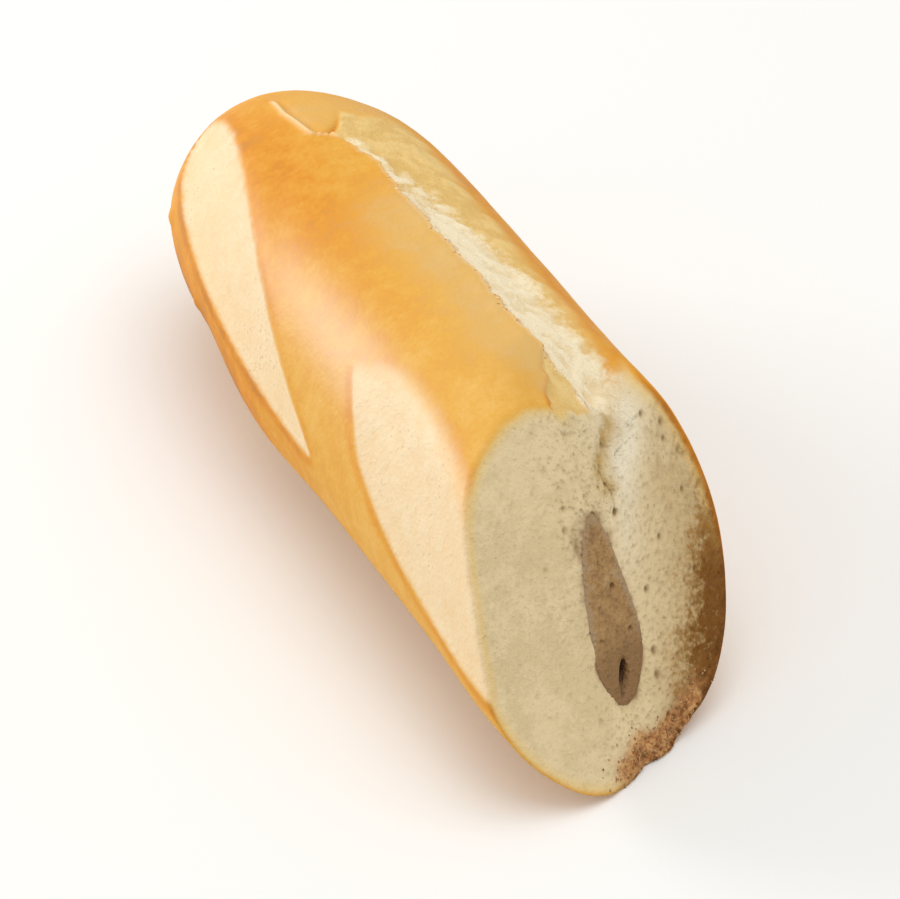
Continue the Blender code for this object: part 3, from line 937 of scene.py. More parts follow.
def bread_mesh():
    """Crust, cut face and the pocket of the filling, as one closed skin."""
    angle = crust_columns()
    rim = rim_distance(angle)
    tip_stations = TIP_LENGTH * np.linspace(0, 1, TIP_RINGS + 1)[1:] ** 2
    body_stations = np.linspace(TIP_LENGTH, CUT_DISTANCE, BODY_RINGS + 1)[1:]
    crust = []
    paints = []
    for station in np.concatenate([tip_stations, body_stations]):
        linear = np.clip((station - SHEAR_START) / (CUT_DISTANCE - SHEAR_START), 0, 1)
        shear = SHEAR_BLEND * smooth_step(linear) + (1 - SHEAR_BLEND) * linear
        along = station + shear * (rim - CUT_DISTANCE)
        crust.append(crust_points(along, angle))
        paints.append(crust_paint(along, angle))
    face_angle, face, face_paints = face_rings()
    pocket, deep_end = filling_rings(face_angle, GAP, POCKET_RINGS, face[-1][:, 0])
    pocket = pocket[1:]
    paints.extend(face_paints)
    paints.extend([face_paints[-1]] * len(pocket))
    paint = {}
    for label in paints[-1]:
        values = [ring.get(label, np.zeros(len(ring["baked"]))) for ring in paints]
        values = np.concatenate(values)
        paint[label] = np.concatenate([values[:1], values, values[-1:]])
    tip = np.array([0.0, 0.0, 0.0])
    return wrap("bread_loaf", tip, [(angle, crust), (face_angle, face + pocket)], deep_end, paint)


def pate_mesh():
    """The paste: an uneven lens, sunk a little at the cut, with its cavity painted dark as shade."""
    angle = np.linspace(0, 360, PATE_STEPS, endpoint=False)
    grow = np.full(PATE_STEPS, PATE_INTO_CRUMB)
    section = lens_outline(angle, 1.0, grow)
    edge = cut_plane(*section.T) - face_depth(*section.T) - PATE_SUNK - 0.5 * MM
    rings, deep_end = filling_rings(angle, grow, POCKET_RINGS, edge)
    middle = np.array([PATE_MIDDLE_Y, PATE_MIDDLE_Z])
    covered = np.linalg.norm(section - mouth_outline(angle), axis=-1)
    hollow_shade = [np.zeros(PATE_STEPS)] * len(rings)
    smeared = [np.ones(PATE_STEPS)] * len(rings)
    darker = [np.zeros(PATE_STEPS)] * len(rings)
    for share in np.linspace(0, 1, PATE_CAP_RINGS + 1)[1:-1]:
        place = section * (1 - share) + middle * share
        paste = paste_depth(*place.T)
        rim_dip = 0.5 * MM * (1 - smooth_step(share / 0.12))
        along = cut_plane(*place.T) - 0.4 * face_depth(*place.T) - PATE_SUNK - paste - rim_dip
        rings.insert(0, np.column_stack([along, place]))
        # Painted shade in the paste's pits and cavity, by their depth.
        hollow_shade.insert(0, np.clip((paste - 0.2 * MM) / (1.1 * MM), 0, 1))
        from_edge = np.linalg.norm(section - place, axis=-1) - covered
        upper = smooth_step((place[:, 1] + 4 * MM) / (9 * MM))
        smeared.insert(0, np.exp(-np.clip(from_edge, 0, None) / ((0.45 + 0.75 * upper) * MM)))
        lower = smooth_step((-3.5 * MM - place[:, 1]) / (5 * MM))
        darker.insert(0, lower)
    centre = cut_plane(*middle) - PATE_SUNK - paste_depth(*middle[:, None])[0]
    paint = {
        "hollow_shade": np.concatenate([[0.0], *hollow_shade, [0.0]]),
        "smeared": np.concatenate([[0.0], *smeared, [1.0]]),
        "darker": np.concatenate([[0.0], *darker, [0.0]]),
    }
    return wrap("pate_filling", np.array([centre, *middle]), [(angle, rings)], deep_end, paint)


# ---------------------------------------------------------------- scattered pieces


def scatter_group(name, label, density, shape_size, scale_low, scale_high, ragged, seed):
    """Nodes that strew small grains over a mesh where a painted value is high."""
    group = bpy.data.node_groups.new(name, "GeometryNodeTree")
    group.interface.new_socket("Geometry", in_out="INPUT", socket_type="NodeSocketGeometry")
    amount = group.interface.new_socket("Density", in_out="INPUT", socket_type="NodeSocketFloat")
    amount.default_value = density
    group.interface.new_socket("Geometry", in_out="OUTPUT", socket_type="NodeSocketGeometry")
    add = group.nodes.new
    link = group.links.new
    inside, outside = add("NodeGroupInput"), add("NodeGroupOutput")

    painted_value = add("GeometryNodeInputNamedAttribute")
    painted_value.data_type = "FLOAT"
    painted_value.inputs["Name"].default_value = label
    crowd = add("ShaderNodeMath")
    crowd.operation = "MULTIPLY"
    link(painted_value.outputs["Attribute"], crowd.inputs[0])
    link(inside.outputs["Density"], crowd.inputs[1])
    strew = add("GeometryNodeDistributePointsOnFaces")
    strew.inputs["Seed"].default_value = seed
    link(inside.outputs["Geometry"], strew.inputs["Mesh"])
    link(crowd.outputs["Value"], strew.inputs["Density"])

    shade = add("FunctionNodeRandomValue")
    shade.inputs["Seed"].default_value = seed + 1
    keep = add("GeometryNodeStoreNamedAttribute")
    keep.data_type = "FLOAT"
    keep.inputs["Name"].default_value = "shade"
    link(strew.outputs["Points"], keep.inputs["Geometry"])
    link(shade.outputs[1], keep.inputs["Value"])

    grain = add("GeometryNodeMeshUVSphere")
    grain.inputs["Segments"].default_value = 7
    grain.inputs["Rings"].default_value = 5
    grain.inputs["Radius"].default_value = 1.0
    flatten = add("GeometryNodeTransform")
    flatten.inputs["Scale"].default_value = shape_size
    link(grain.outputs["Mesh"], flatten.inputs["Geometry"])

    turn = add("FunctionNodeRandomValue")
    turn.data_type = "FLOAT_VECTOR"
    turn.inputs["Min"].default_value = (-0.6, -0.6, -3.14)
    turn.inputs["Max"].default_value = (0.6, 0.6, 3.14)
    turn.inputs["Seed"].default_value = seed + 2
    spin = add("FunctionNodeRotateRotation")
    spin.rotation_space = "LOCAL"
    link(strew.outputs["Rotation"], spin.inputs["Rotation"])
    as_rotation = add("FunctionNodeEulerToRotation")
    link(turn.outputs[0], as_rotation.inputs["Euler"])
    link(as_rotation.outputs["Rotation"], spin.inputs["Rotate By"])
    size = add("FunctionNodeRandomValue")
    size.data_type = "FLOAT_VECTOR"
    size.inputs["Min"].default_value = (scale_low,) * 3
    size.inputs["Max"].default_value = (scale_high,) * 3
    size.inputs["Seed"].default_value = seed + 3
    place = add("GeometryNodeInstanceOnPoints")
    link(keep.outputs["Geometry"], place.inputs["Points"])
    link(flatten.outputs["Geometry"], place.inputs["Instance"])
    link(spin.outputs["Rotation"], place.inputs["Rotation"])
    link(size.outputs[0], place.inputs["Scale"])
    solid = add("GeometryNodeRealizeInstances")
    link(place.outputs["Instances"], solid.inputs["Geometry"])

    lumps = add("ShaderNodeTexNoise")
    lumps.inputs["Scale"].default_value = 2600.0
    lumps.inputs["Detail"].default_value = 2.0
    centred = add("ShaderNodeVectorMath")
    centred.operation = "SUBTRACT"
    centred.inputs[1].default_value = (0.5, 0.5, 0.5)
    link(lumps.outputs["Color"], centred.inputs[0])
    scaled = add("ShaderNodeVectorMath")
    scaled.operation = "SCALE"
    scaled.inputs["Scale"].default_value = ragged
    link(centred.outputs["Vector"], scaled.inputs[0])
    deform = add("GeometryNodeSetPosition")
    link(solid.outputs["Geometry"], deform.inputs["Geometry"])
    link(scaled.outputs["Vector"], deform.inputs["Offset"])
    dress = add("GeometryNodeSetMaterial")
    link(deform.outputs["Geometry"], dress.inputs["Geometry"])
    link(dress.outputs["Geometry"], outside.inputs["Geometry"])
    return group, dress, amount.identifier


def scattered(name, base, group, dress, amount, density, material):
    """The strewn grains as a plain mesh of their own."""
    dress.inputs["Material"].default_value = material
    piece = bpy.data.objects.new(name, base.data.copy())
    bpy.context.scene.collection.objects.link(piece)
    modifier = piece.modifiers.new("strew", "NODES")
    modifier.node_group = group
    modifier[amount] = density
    depsgraph = bpy.context.evaluated_depsgraph_get()
    grains = bpy.data.meshes.new_from_object(piece.evaluated_get(depsgraph))
    piece.modifiers.remove(modifier)
    piece.data = grains
    grains.name = name
    grains.shade_smooth()
    print(name, len(grains.polygons), "faces")
    return piece


# ---------------------------------------------------------------- materials


def new_material(name, roughness):
    """An empty Principled material: its node tree and its shader."""
    material = bpy.data.materials.new(name)
    material.use_nodes = True
    shader = material.node_tree.nodes["Principled BSDF"]
    shader.inputs["Roughness"].default_value = roughness
    return material, material.node_tree, shader


def painted(tree, label):
    """Output of a value painted on the mesh."""
    node = tree.nodes.new("ShaderNodeAttribute")
    node.attribute_name = label
    return node.outputs["Fac"]


def mixed(tree, share, first, second):
    """Two colours mixed by a share: a colour is a socket or three numbers."""
    node = tree.nodes.new("ShaderNodeMix")
    node.data_type = "RGBA"
    tree.links.new(share, node.inputs["Factor"])
    for socket, colour in ((node.inputs["A"], first), (node.inputs["B"], second)):
        if isinstance(colour, tuple):
            socket.default_value = (*colour, 1.0)
        else:
            tree.links.new(colour, socket)
    return node.outputs["Result"]


def ramp(tree, share, stops):
    """A colour ramp: stops are (position, colour)."""
    node = tree.nodes.new("ShaderNodeValToRGB")
    tree.links.new(share, node.inputs["Fac"])
    elements = node.color_ramp.elements
    while len(elements) < len(stops):
        elements.new(0.5)
    for element, (position, colour) in zip(elements, stops):
        element.position = position
        element.color = (*colour, 1.0)
    return node.outputs["Color"]


def calc(tree, operation, *values, clamp=False):
    """A sum, product or other result of values: each is a socket or a number."""
    node = tree.nodes.new("ShaderNodeMath")
    node.operation = operation
    node.use_clamp = clamp
    for socket, value in zip(node.inputs, values):
        if isinstance(value, (int, float)):
            socket.default_value = value
        else:
            tree.links.new(value, socket)
    return node.outputs["Value"]


def added(tree, *terms):
    """Sum of terms: each is a socket, or a socket and its factor."""
    total = None
    for term in terms:
        if isinstance(term, tuple):
            term = calc(tree, "MULTIPLY", *term)
        total = term if total is None else calc(tree, "ADD", total, term)
    return total


def between(tree, value, low, high):
    """0 where a value is below low, 1 above high, smooth between."""
    node = tree.nodes.new("ShaderNodeMapRange")
    node.interpolation_type = "SMOOTHSTEP"
    tree.links.new(value, node.inputs["Value"])
    node.inputs["From Min"].default_value = low
    node.inputs["From Max"].default_value = high
    return node.outputs["Result"]


def product(tree, *values):
    """Product of several values."""
    total = values[0]
    for value in values[1:]:
        total = calc(tree, "MULTIPLY", total, value)
    return total


def new_group(name, inputs, outputs):
    """A shader group with named sockets, and its inner input and output nodes."""
    group = bpy.data.node_groups.new(name, "ShaderNodeTree")
    for label, kind, value in inputs:
        socket = group.interface.new_socket(label, in_out="INPUT", socket_type=kind)
        socket.default_value = value
    for label, kind in outputs:
        group.interface.new_socket(label, in_out="OUTPUT", socket_type=kind)
    inside = group.nodes.new("NodeGroupInput")
    outside = group.nodes.new("NodeGroupOutput")
    return group, inside, outside


def mottle_group():
    """Mottling of three sizes about 0, from the piece's own coordinates."""
    labels = ("Fine", "Middling", "Broad")
    group, inside, outside = new_group(
        "baked_mottle",
        [(label + " Scale", "NodeSocketFloat", 500.0) for label in labels],
        [(label, "NodeSocketFloat") for label in labels],
    )
    place = group.nodes.new("ShaderNodeTexCoord").outputs["Object"]
    for label, detail in zip(labels, (3.0, 4.0, 4.0)):
        noise = group.nodes.new("ShaderNodeTexNoise")
        noise.inputs["Detail"].default_value = detail
        noise.inputs["Roughness"].default_value = 0.6
        group.links.new(place, noise.inputs["Vector"])
        group.links.new(inside.outputs[label + " Scale"], noise.inputs["Scale"])
        centred = calc(group, "SUBTRACT", noise.outputs["Fac"], 0.5)
        group.links.new(centred, outside.inputs[label])
    return group


def pits_group():
    """Small round pits: how deep a place lies, from 0 to 1."""
    group, inside, outside = new_group(
        "fine_pits",
        [("Scale", "NodeSocketFloat", 1500.0), ("Sharpness", "NodeSocketFloat", 3.0)],
        [("Depth", "NodeSocketFloat")],
    )
    place = group.nodes.new("ShaderNodeTexCoord").outputs["Object"]
    cells = group.nodes.new("ShaderNodeTexVoronoi")
    cells.feature = "F1"
    group.links.new(place, cells.inputs["Vector"])
    group.links.new(inside.outputs["Scale"], cells.inputs["Scale"])
    spread = calc(group, "MULTIPLY", cells.outputs["Distance"], inside.outputs["Sharpness"])
    depth = calc(group, "SUBTRACT", 1.0, spread, clamp=True)
    group.links.new(depth, outside.inputs["Depth"])
    return group


def place_group(tree, group, **values):
    """A group placed in a material with its own values."""
    node = tree.nodes.new("ShaderNodeGroup")
    node.node_tree = group
    for label, value in values.items():
        node.inputs[label.replace("_", " ")].default_value = value
    return node.outputs


PALE_GOLD = (0.78, 0.47, 0.13)
GOLD = (0.72, 0.375, 0.055)
AMBER = (0.68, 0.27, 0.018)
BROWN = (0.42, 0.135, 0.018)
# Duller olive crust by the lip, partly painted shade.
SALLOW_AND_SHADE = (0.69, 0.44, 0.15)
SLASH_CREAM = (0.84, 0.665, 0.43)
SLASH_GOLD = (0.80, 0.575, 0.31)
SLASH_SPECK = (0.60, 0.38, 0.16)
SLASH_DASH = (0.48, 0.33, 0.12)
PALE_LIP = (0.86, 0.58, 0.28)
LIP_SHADE = (0.44, 0.21, 0.045)
TORN_WHITE = (0.885, 0.77, 0.54)
TORN_SHADOW = (0.80, 0.645, 0.40)
TORN_TAN = (0.78, 0.57, 0.235)
# A pinkish white for the painted highlight.
PAINTED_HIGHLIGHT = (0.70, 0.48, 0.34)
TORN_OLIVE = (0.70, 0.475, 0.17)
CRUMB = (0.735, 0.59, 0.352)
CRUMB_SHADE = (0.655, 0.515, 0.295)
CRUMB_WHITE = (0.84, 0.76, 0.59)
CRUMB_OLIVE = (0.47, 0.30, 0.085)
CRUMB_EDGE = (0.76, 0.53, 0.19)
# Toasted crumb near the crust, also used for painted shade on the right side of the cut.
TOAST_AND_SHADE = (0.29, 0.13, 0.022)
TOAST_AND_SHADE_DARK = (0.15, 0.055, 0.009)
TOAST_AND_SHADE_WARM = (0.40, 0.245, 0.09)
TORN_PALE = (0.60, 0.34, 0.135)
TORN_PINK = (0.45, 0.205, 0.075)
TORN_BROWN = (0.25, 0.105, 0.03)
RIM_BROWN = (0.27, 0.115, 0.025)
# Colours of painted shade in the pores.
PORE_SHADE = (0.50, 0.38, 0.21)
PORE_DEEP_SHADE = (0.22, 0.14, 0.06)
STAIN = (0.32, 0.20, 0.10)
PATE = (0.375, 0.203, 0.062)
PATE_PALE = (0.45, 0.29, 0.13)
PATE_DARK = (0.175, 0.088, 0.026)
PATE_LOW = (0.228, 0.113, 0.031)
PATE_SMEARED = (0.36, 0.235, 0.12)
PATE_HOLLOW_SHADE = (0.06, 0.022, 0.006)


def relief_to_normal(tree, shader, height, distance):
    """A height in fractions of a distance, seen as fine relief."""
    node = tree.nodes.new("ShaderNodeBump")
    node.inputs["Strength"].default_value = 1.0
    node.inputs["Distance"].default_value = distance
    tree.links.new(height, node.inputs["Height"])
    tree.links.new(node.outputs["Normal"], shader.inputs["Normal"])
    return node.outputs["Normal"]


def bread_material(mottle_kit, pits_kit):
    """Golden crust, pale slashes, torn seam and crumb, mixed by the painted values."""
    material, tree, shader = new_material("bread_crust_and_crumb", 0.5)
    mottle = place_group(tree, mottle_kit, Fine_Scale=1500.0, Middling_Scale=430.0, Broad_Scale=110.0)
    fine, middling, broad = mottle["Fine"], mottle["Middling"], mottle["Broad"]
    pits = place_group(tree, pits_kit, Scale=1300.0, Sharpness=2.4)["Depth"]
    small_pits = place_group(tree, pits_kit, Scale=2600.0, Sharpness=2.0)["Depth"]

    baked = added(tree, painted(tree, "baked"), (broad, 0.6), (middling, 0.42), (fine, 0.34))
    crust = ramp(tree, baked, [(0.0, PALE_GOLD), (0.33, GOLD), (0.62, AMBER), (1.0, BROWN)])
    # Duller, more olive crust by the lip: partly its own colour and partly painted shade.
    sallow_and_shaded = added(tree, painted(tree, "sallow_and_shaded"), (broad, 0.9), (middling, 0.7), (fine, 0.5))
    crust = mixed(tree, between(tree, sallow_and_shaded, 0.0, 1.0), crust, SALLOW_AND_SHADE)
    # Painted highlight: the crust's colour is paled, in patches, where the key light's reflection falls.
    patchy = added(tree, calc(tree, "ADD", broad, 0.8), (middling, 1.4), (fine, 0.8))
    painted_highlight = product(tree, between(tree, painted(tree, "gloss_and_painted_highlight"), 0.42, 1.0), patchy, 0.27)
    crust = mixed(tree, calc(tree, "MINIMUM", painted_highlight, 0.6), crust, PAINTED_HIGHLIGHT)

    edge_noise = added(tree, (middling, 0.4), (fine, 0.3))
    from_left = between(tree, added(tree, painted(tree, "slash_left"), edge_noise), -0.35, 0.55)
    from_right = calc(tree, "DIVIDE", added(tree, painted(tree, "slash_right"), (middling, 1.6)),
                      painted(tree, "slash_soft"))
    slashed = product(tree, from_left, between(tree, from_right, -0.6, 0.7))
    slash = mixed(tree, added(tree, calc(tree, "ADD", broad, 0.6), (middling, 1.6), (fine, 0.8)), SLASH_GOLD, SLASH_CREAM)
    speckled = product(tree, between(tree, pits, 0.35, 0.8), between(tree, broad, -0.03, 0.12))
    slash = mixed(tree, calc(tree, "MULTIPLY", speckled, 0.4), slash, SLASH_SPECK)
    dashes = product(tree, painted(tree, "pitted"), between(tree, added(tree, middling, (pits, 0.25)), 0.12, 0.24))
    slash = mixed(tree, calc(tree, "MULTIPLY", dashes, 0.7), slash, SLASH_DASH)
    crust = mixed(tree, slashed, crust, slash)

    past_lip = between(tree, added(tree, painted(tree, "lip_past"), (fine, 0.5)), -0.06, 0.1)
    peeled = between(tree, painted(tree, "tanned"), 3.0, 6.0)
    tan_share = calc(tree, "MULTIPLY", between(
        tree, added(tree, painted(tree, "tanned"), (middling, 0.5), (broad, 0.3)), 0.05, 0.95), past_lip)
    tan_share = calc(tree, "MAXIMUM", tan_share, peeled)
    lumps = added(tree, painted(tree, "lumpy"), (middling, 0.7), (fine, 1.0))
    tan = mixed(tree, between(tree, added(tree, lumps, (broad, 0.6)), -0.3, 0.25), TORN_OLIVE, TORN_TAN)
    crust = mixed(tree, calc(tree, "MULTIPLY", tan_share, 0.88), crust, tan)
    white = added(tree, painted(tree, "white"), (middling, 0.8), (fine, 0.7), (broad, 0.4), (lumps, 0.25))
    white = product(tree, between(tree, white, 0.0, 0.85), past_lip,
                    between(tree, painted(tree, "white"), 0.0, 0.14))
    crust = mixed(tree, white, crust, mixed(tree, between(tree, lumps, -0.40, 0.16), TORN_SHADOW, TORN_WHITE))
    in_shade = product(tree, past_lip, between(tree, painted(tree, "lip_past"), 1.35, 0.75),
                       between(tree, added(tree, middling, (broad, 0.6)), -0.07, 0.06),
                       painted(tree, "lip_shade"))
    crust = mixed(tree, calc(tree, "MULTIPLY", in_shade, 0.6), crust, LIP_SHADE)
    crust = mixed(tree, painted(tree, "pale_lip"), crust, PALE_LIP)

    crumb_light = between(tree, added(tree, broad, (middling, 0.8), (fine, 0.5)), -0.18, 0.14)
    crumb = mixed(tree, crumb_light, CRUMB_SHADE, CRUMB)
    crumb = mixed(tree, calc(tree, "MULTIPLY", painted(tree, "whiter"), 0.75), crumb, CRUMB_WHITE)
    # Painted shade in the fine pits and in the pores of the crumb.
    dots = product(tree, between(tree, pits, 0.45, 0.85), between(tree, middling, -0.02, 0.1))
    crumb = mixed(tree, calc(tree, "MULTIPLY", dots, 0.4), crumb, PORE_SHADE)
    crumb = mixed(tree, calc(tree, "MULTIPLY", painted(tree, "hollow_shade"), 0.6), crumb, PORE_SHADE)
    crumb = mixed(tree, painted(tree, "golden"), crumb, CRUMB_OLIVE)
    stained = added(tree, painted(tree, "stained"), (middling, 0.6))
    crumb = mixed(tree, between(tree, stained, 0.1, 1.1), crumb, STAIN)
    browned = painted(tree, "browned")
    unscorched = calc(tree, "SUBTRACT", 1.0, calc(tree, "MULTIPLY", between(tree, browned, 0.6, 1.0), 0.65))
    toast_light = between(tree, added(tree, fine, (middling, 0.7)), -0.12, 0.1)
    toast_and_shade_tone = mixed(tree, calc(tree, "MULTIPLY", toast_light, unscorched), TOAST_AND_SHADE_DARK, TOAST_AND_SHADE)
    uneven = calc(tree, "MAXIMUM", calc(tree, "ADD", 1.0, added(tree, (middling, 0.8), (fine, 2.2))), 0.65)
    # Real toasting near the crust, and painted shade over the right side and the low right rim.
    toasted_and_shaded = calc(tree, "MULTIPLY", painted(tree, "toasted_and_shaded"), uneven)
    crumb = mixed(tree, calc(tree, "MULTIPLY", toasted_and_shaded, 1.33, clamp=True), crumb, TOAST_AND_SHADE_WARM)
    crumb = mixed(tree, between(tree, toasted_and_shaded, 0.40, 1.30), crumb, toast_and_shade_tone)
    patches = added(tree, calc(tree, "ADD", middling, 0.5), (fine, 1.4), (broad, 0.6))
    ragged = ramp(tree, patches, [(0.25, TORN_BROWN), (0.48, TORN_PINK), (0.72, TORN_PALE)])
    torn = between(tree, added(tree, painted(tree, "torn"), (middling, 0.9)), 0.1, 0.75)
    crumb = mixed(tree, torn, crumb, ragged)
    # Painted shade in the deeper pores.
    crumb = mixed(tree, between(tree, painted(tree, "hollow_shade"), 0.45, 1.1), crumb, PORE_DEEP_SHADE)

    frayed = product(tree, added(tree, (middling, 0.9), (fine, 1.6)), calc(tree, "ADD", browned, 0.15))
    far_in = calc(tree, "SUBTRACT", painted(tree, "rim_far"), painted(tree, "rim_crust"))
    inside_rim = between(tree, calc(tree, "ADD", far_in, frayed), -0.3, 0.55)
    near_edge = between(tree, calc(tree, "ADD", far_in, frayed), -0.2, 1.7)
    edge_share = product(tree, calc(tree, "SUBTRACT", 1.0, near_edge), calc(tree, "SUBTRACT", 1.0, browned))
    crumb = mixed(tree, calc(tree, "MULTIPLY", edge_share, 0.85), crumb, CRUMB_EDGE)
    rim_light = product(tree, between(tree, added(tree, fine, middling), -0.1, 0.12), unscorched)
    rim_crust = mixed(tree, browned, crust, mixed(tree, rim_light, TOAST_AND_SHADE_DARK, RIM_BROWN))
    on_cut = painted(tree, "on_cut")
    edge_crust = mixed(tree, on_cut, crust, rim_crust)
    crumb_share = calc(tree, "MULTIPLY", inside_rim, on_cut)
    colour = mixed(tree, crumb_share, edge_crust, crumb)
    tree.links.new(colour, shader.inputs["Base Color"])

    matt = calc(tree, "MAXIMUM", calc(tree, "MAXIMUM", white, calc(tree, "MULTIPLY", tan_share, 0.8)), on_cut)
    gloss_and_painted_highlight = product(tree, painted(tree, "gloss_and_painted_highlight"), calc(tree, "SUBTRACT", 1.0, matt, clamp=True))
    rough = added(tree, (slashed, 0.12), (matt, 0.30), (middling, 0.12), (gloss_and_painted_highlight, -0.22))
    tree.links.new(calc(tree, "ADD", rough, 0.66, clamp=True), shader.inputs["Roughness"])
    coated = calc(tree, "SUBTRACT", 1.0, calc(tree, "MULTIPLY", slashed, 0.45))
    tree.links.new(product(tree, gloss_and_painted_highlight, coated, 0.54), shader.inputs["Coat Weight"])
    shader.inputs["Coat Roughness"].default_value = 0.36
    shader.inputs["Specular IOR Level"].default_value = 0.22

    torn_relief = added(tree, (middling, 1.6), (fine, 1.1))
    crumb_relief = added(tree, (fine, 0.4), (pits, -0.14), (small_pits, -0.14))
    crust_relief = added(tree, (fine, 0.36), (middling, 0.34))
    height = added(
        tree,
        crust_relief,
        product(tree, slashed, added(tree, (fine, 0.35), (middling, 0.25), (speckled, -0.2))),
        product(tree, calc(tree, "MAXIMUM", white, calc(tree, "MULTIPLY", tan_share, 0.7)), torn_relief, 0.8),
        product(tree, on_cut, crumb_relief),
    )
    relief_to_normal(tree, shader, height, 0.28 * MM)
    return material


def pate_material(mottle_kit, pits_kit):
    """Moist brown-grey paste, mottled, darker towards the bottom, with painted shade in its pits and its cavity.
    """
    material, tree, shader = new_material("pate_paste", 0.5)
    mottle = place_group(tree, mottle_kit, Fine_Scale=2200.0, Middling_Scale=800.0, Broad_Scale=260.0)
    fine, middling, broad = mottle["Fine"], mottle["Middling"], mottle["Broad"]
    pits = place_group(tree, pits_kit, Scale=1700.0, Sharpness=1.8)["Depth"]
    shade = added(tree, broad, (middling, 0.9), (fine, 0.5))
    shade = added(tree, shade, (painted(tree, "smeared"), 0.16))
    colour = mixed(tree, between(tree, shade, -0.45, 0.14), PATE_DARK, PATE)
    colour = mixed(tree, between(tree, shade, 0.02, 0.35), colour, PATE_PALE)
    # Painted shade in the small pits.
    colour = mixed(tree, calc(tree, "MULTIPLY", pits, 0.25), colour, PATE_DARK)
    smeared = added(tree, painted(tree, "smeared"), (middling, 1.2), (broad, 0.8))
    colour = mixed(tree, between(tree, smeared, 0.15, 1.1), colour, PATE_SMEARED)
    lower = added(tree, painted(tree, "darker"), (middling, 0.8))
    colour = mixed(tree, calc(tree, "MULTIPLY", between(tree, lower, -0.1, 1.1), 0.9), colour, PATE_LOW)
    # Painted shade in the pits and the cavity.
    colour = mixed(tree, painted(tree, "hollow_shade"), colour, PATE_HOLLOW_SHADE)
    tree.links.new(colour, shader.inputs["Base Color"])
    relief_to_normal(tree, shader, added(tree, (fine, 0.8), (middling, 1.0), (pits, -0.6)), 0.3 * MM)
    return material


def grain_material(name, pale, dark, roughness):
    """Loose grains, each of its own shade."""
    material, tree, shader = new_material(name, roughness)
    tree.links.new(mixed(tree, painted(tree, "shade"), dark, pale), shader.inputs["Base Color"])
    shader.inputs["Specular IOR Level"].default_value = 0.25
    return material


# ---------------------------------------------------------------- studio


def aim(thing, target):
    """Turn a light or camera towards a point."""
    thing.rotation_euler = (Vector(target) - thing.location).to_track_quat("-Z", "Y").to_euler()


def soft_light(name, direction, distance, size, power, colour, target):
    """A large soft light at a distance in a direction from a point."""
    lamp = bpy.data.lights.new(name, "AREA")
    lamp.shape = "RECTANGLE"
    lamp.size, lamp.size_y = size
    lamp.energy = power
    lamp.color = colour
    light = bpy.data.objects.new(name, lamp)
    light.location = Vector(target) + Vector(direction).normalized() * distance
    bpy.context.scene.collection.objects.link(light)
    aim(light, target)
    return light


def make_floor():
    """A plain pale floor, just under the loaf."""
    half = 3.0
    data = bpy.data.meshes.new("floor")
    corners = [(-half, -half), (half, -half), (half, half), (-half, half)]
    data.from_pydata([(x, y, -0.00002) for x, y in corners], [], [(0, 1, 2, 3)])
    floor = bpy.data.objects.new("floor", data)
    bpy.context.scene.collection.objects.link(floor)
    material, _, shader = new_material("pale_floor", 0.8)
    shader.inputs["Base Color"].default_value = (0.86, 0.86, 0.85, 1.0)
    data.materials.append(material)


def make_camera(shift):
    """The camera at the photograph's angle, aimed at the middle of the loaf."""
    side = np.radians(CAMERA_SIDE)
    rise = np.radians(CAMERA_RISE)
    back = Vector((np.cos(rise) * np.cos(side), np.cos(rise) * np.sin(side), np.sin(rise)))
    right = Vector((0, 0, 1)).cross(back).normalized()
    up = back.cross(right)
    target = Vector(CAMERA_AIM) - Vector(shift) + right * AIM_RIGHT + up * AIM_UP
    data = bpy.data.cameras.new("camera")
    data.sensor_width = SENSOR
    data.lens = PHOTO_FOCAL * ZOOM * SENSOR / PICTURE_WIDTH
    data.clip_start = 0.01
    data.clip_end = 20.0
    camera = bpy.data.objects.new("camera", data)
    camera.location = target + back * CAMERA_DISTANCE
    bpy.context.scene.collection.objects.link(camera)
    aim(camera, target)
    bpy.context.scene.camera = camera
    return target


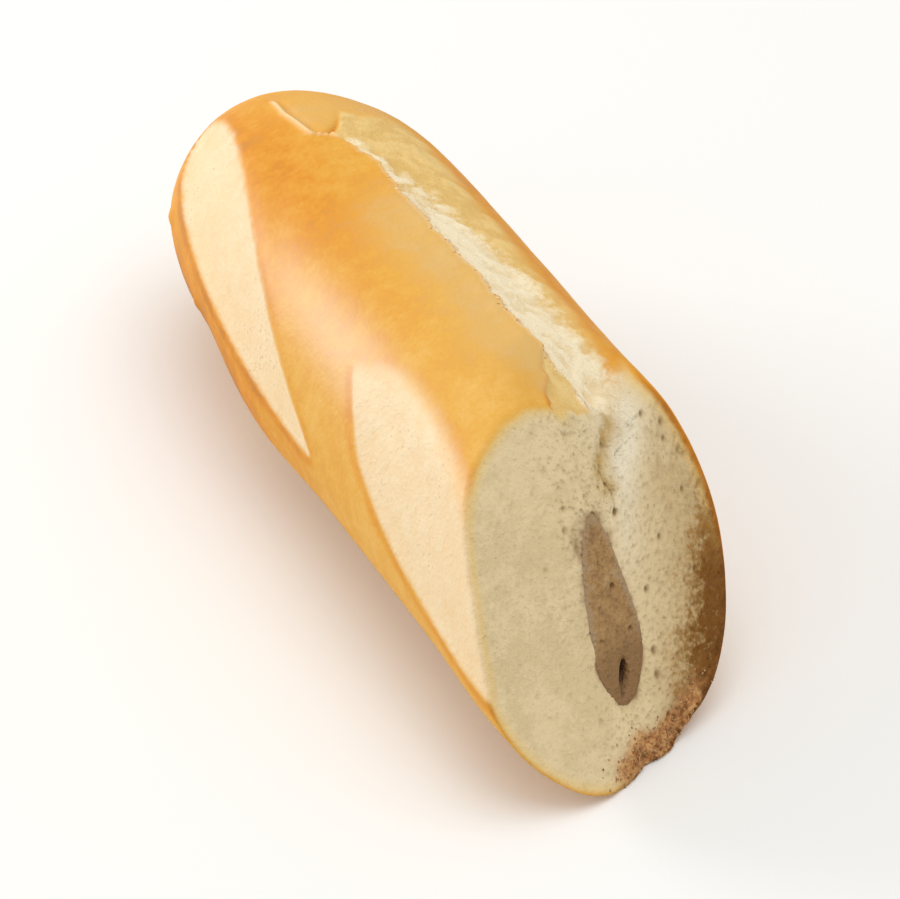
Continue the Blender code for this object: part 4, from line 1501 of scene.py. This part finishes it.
def make_studio(shift):
    """Floor, camera, white surroundings and soft lights."""
    make_floor()
    target = make_camera(shift)
    world = bpy.data.worlds.new("white_room")
    world.use_nodes = True
    background = world.node_tree.nodes["Background"]
    background.inputs["Color"].default_value = (1.0, 0.99, 0.97, 1.0)
    background.inputs["Strength"].default_value = 0.65
    bpy.context.scene.world = world
    soft_light("side_window", (-0.73, -0.62, 0.30), 0.7, (0.34, 0.30), 2.25, (1.0, 0.985, 0.965), target)
    soft_light("overhead", (0.1, 0.1, 1.0), 0.9, (0.8, 0.8), 4.0, (1.0, 0.99, 0.975), target)
    bpy.context.scene.view_settings.view_transform = "Standard"


# ---------------------------------------------------------------- assembly


def rest_on_floor(pieces):
    """Move the meshes together to where the solids lie, and return the move."""
    places = np.array([vertex.co for vertex in pieces[0].data.vertices])
    low = places.min(axis=0)
    high = places.max(axis=0)
    shift = np.array([(low[0] + high[0]) / 2, (low[1] + high[1]) / 2, REST_LEVEL])
    for piece in pieces:
        flat = np.empty(len(piece.data.vertices) * 3, dtype=np.float32)
        piece.data.vertices.foreach_get("co", flat)
        moved = flat.reshape(-1, 3) - shift
        piece.data.vertices.foreach_set("co", moved.ravel().astype(np.float32))
        piece.data.update()
    return shift


def main():
    bread = bread_mesh()
    pate = pate_mesh()
    shift = rest_on_floor([bread, pate])
    mottle_kit = mottle_group()
    pits_kit = pits_group()
    bread.data.materials.append(bread_material(mottle_kit, pits_kit))
    pate.data.materials.append(pate_material(mottle_kit, pits_kit))

    crumbs = grain_material("loose_crumb", (0.56, 0.34, 0.16), (0.22, 0.09, 0.03), 0.9)
    grains, dress, amount = scatter_group(
        "strew_crumbs", "crumbly", 3.0e6, (0.17 * MM, 0.13 * MM, 0.11 * MM), 0.5, 1.4, 0.2 * MM, 3
    )
    crumb_piece = scattered("loose_crumbs", bread, grains, dress, amount, 8.0e6, crumbs)
    flakes = grain_material("crust_flake", (0.84, 0.60, 0.28), (0.64, 0.38, 0.13), 0.6)
    plates, dress, amount = scatter_group(
        "strew_flakes", "flaky", 3.0e6, (0.30 * MM, 0.22 * MM, 0.10 * MM), 0.5, 1.3, 0.2 * MM, 13
    )
    flake_piece = scattered("lip_flakes", bread, plates, dress, amount, 1.2e6, flakes)
    for piece, node, slot in ((bread, "bread", "crust"), (pate, "pate", "filling")):
        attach(piece, "root")
        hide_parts(node)
    for piece in (crumb_piece, flake_piece):
        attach(piece, "root")
    make_studio(shift)


main()
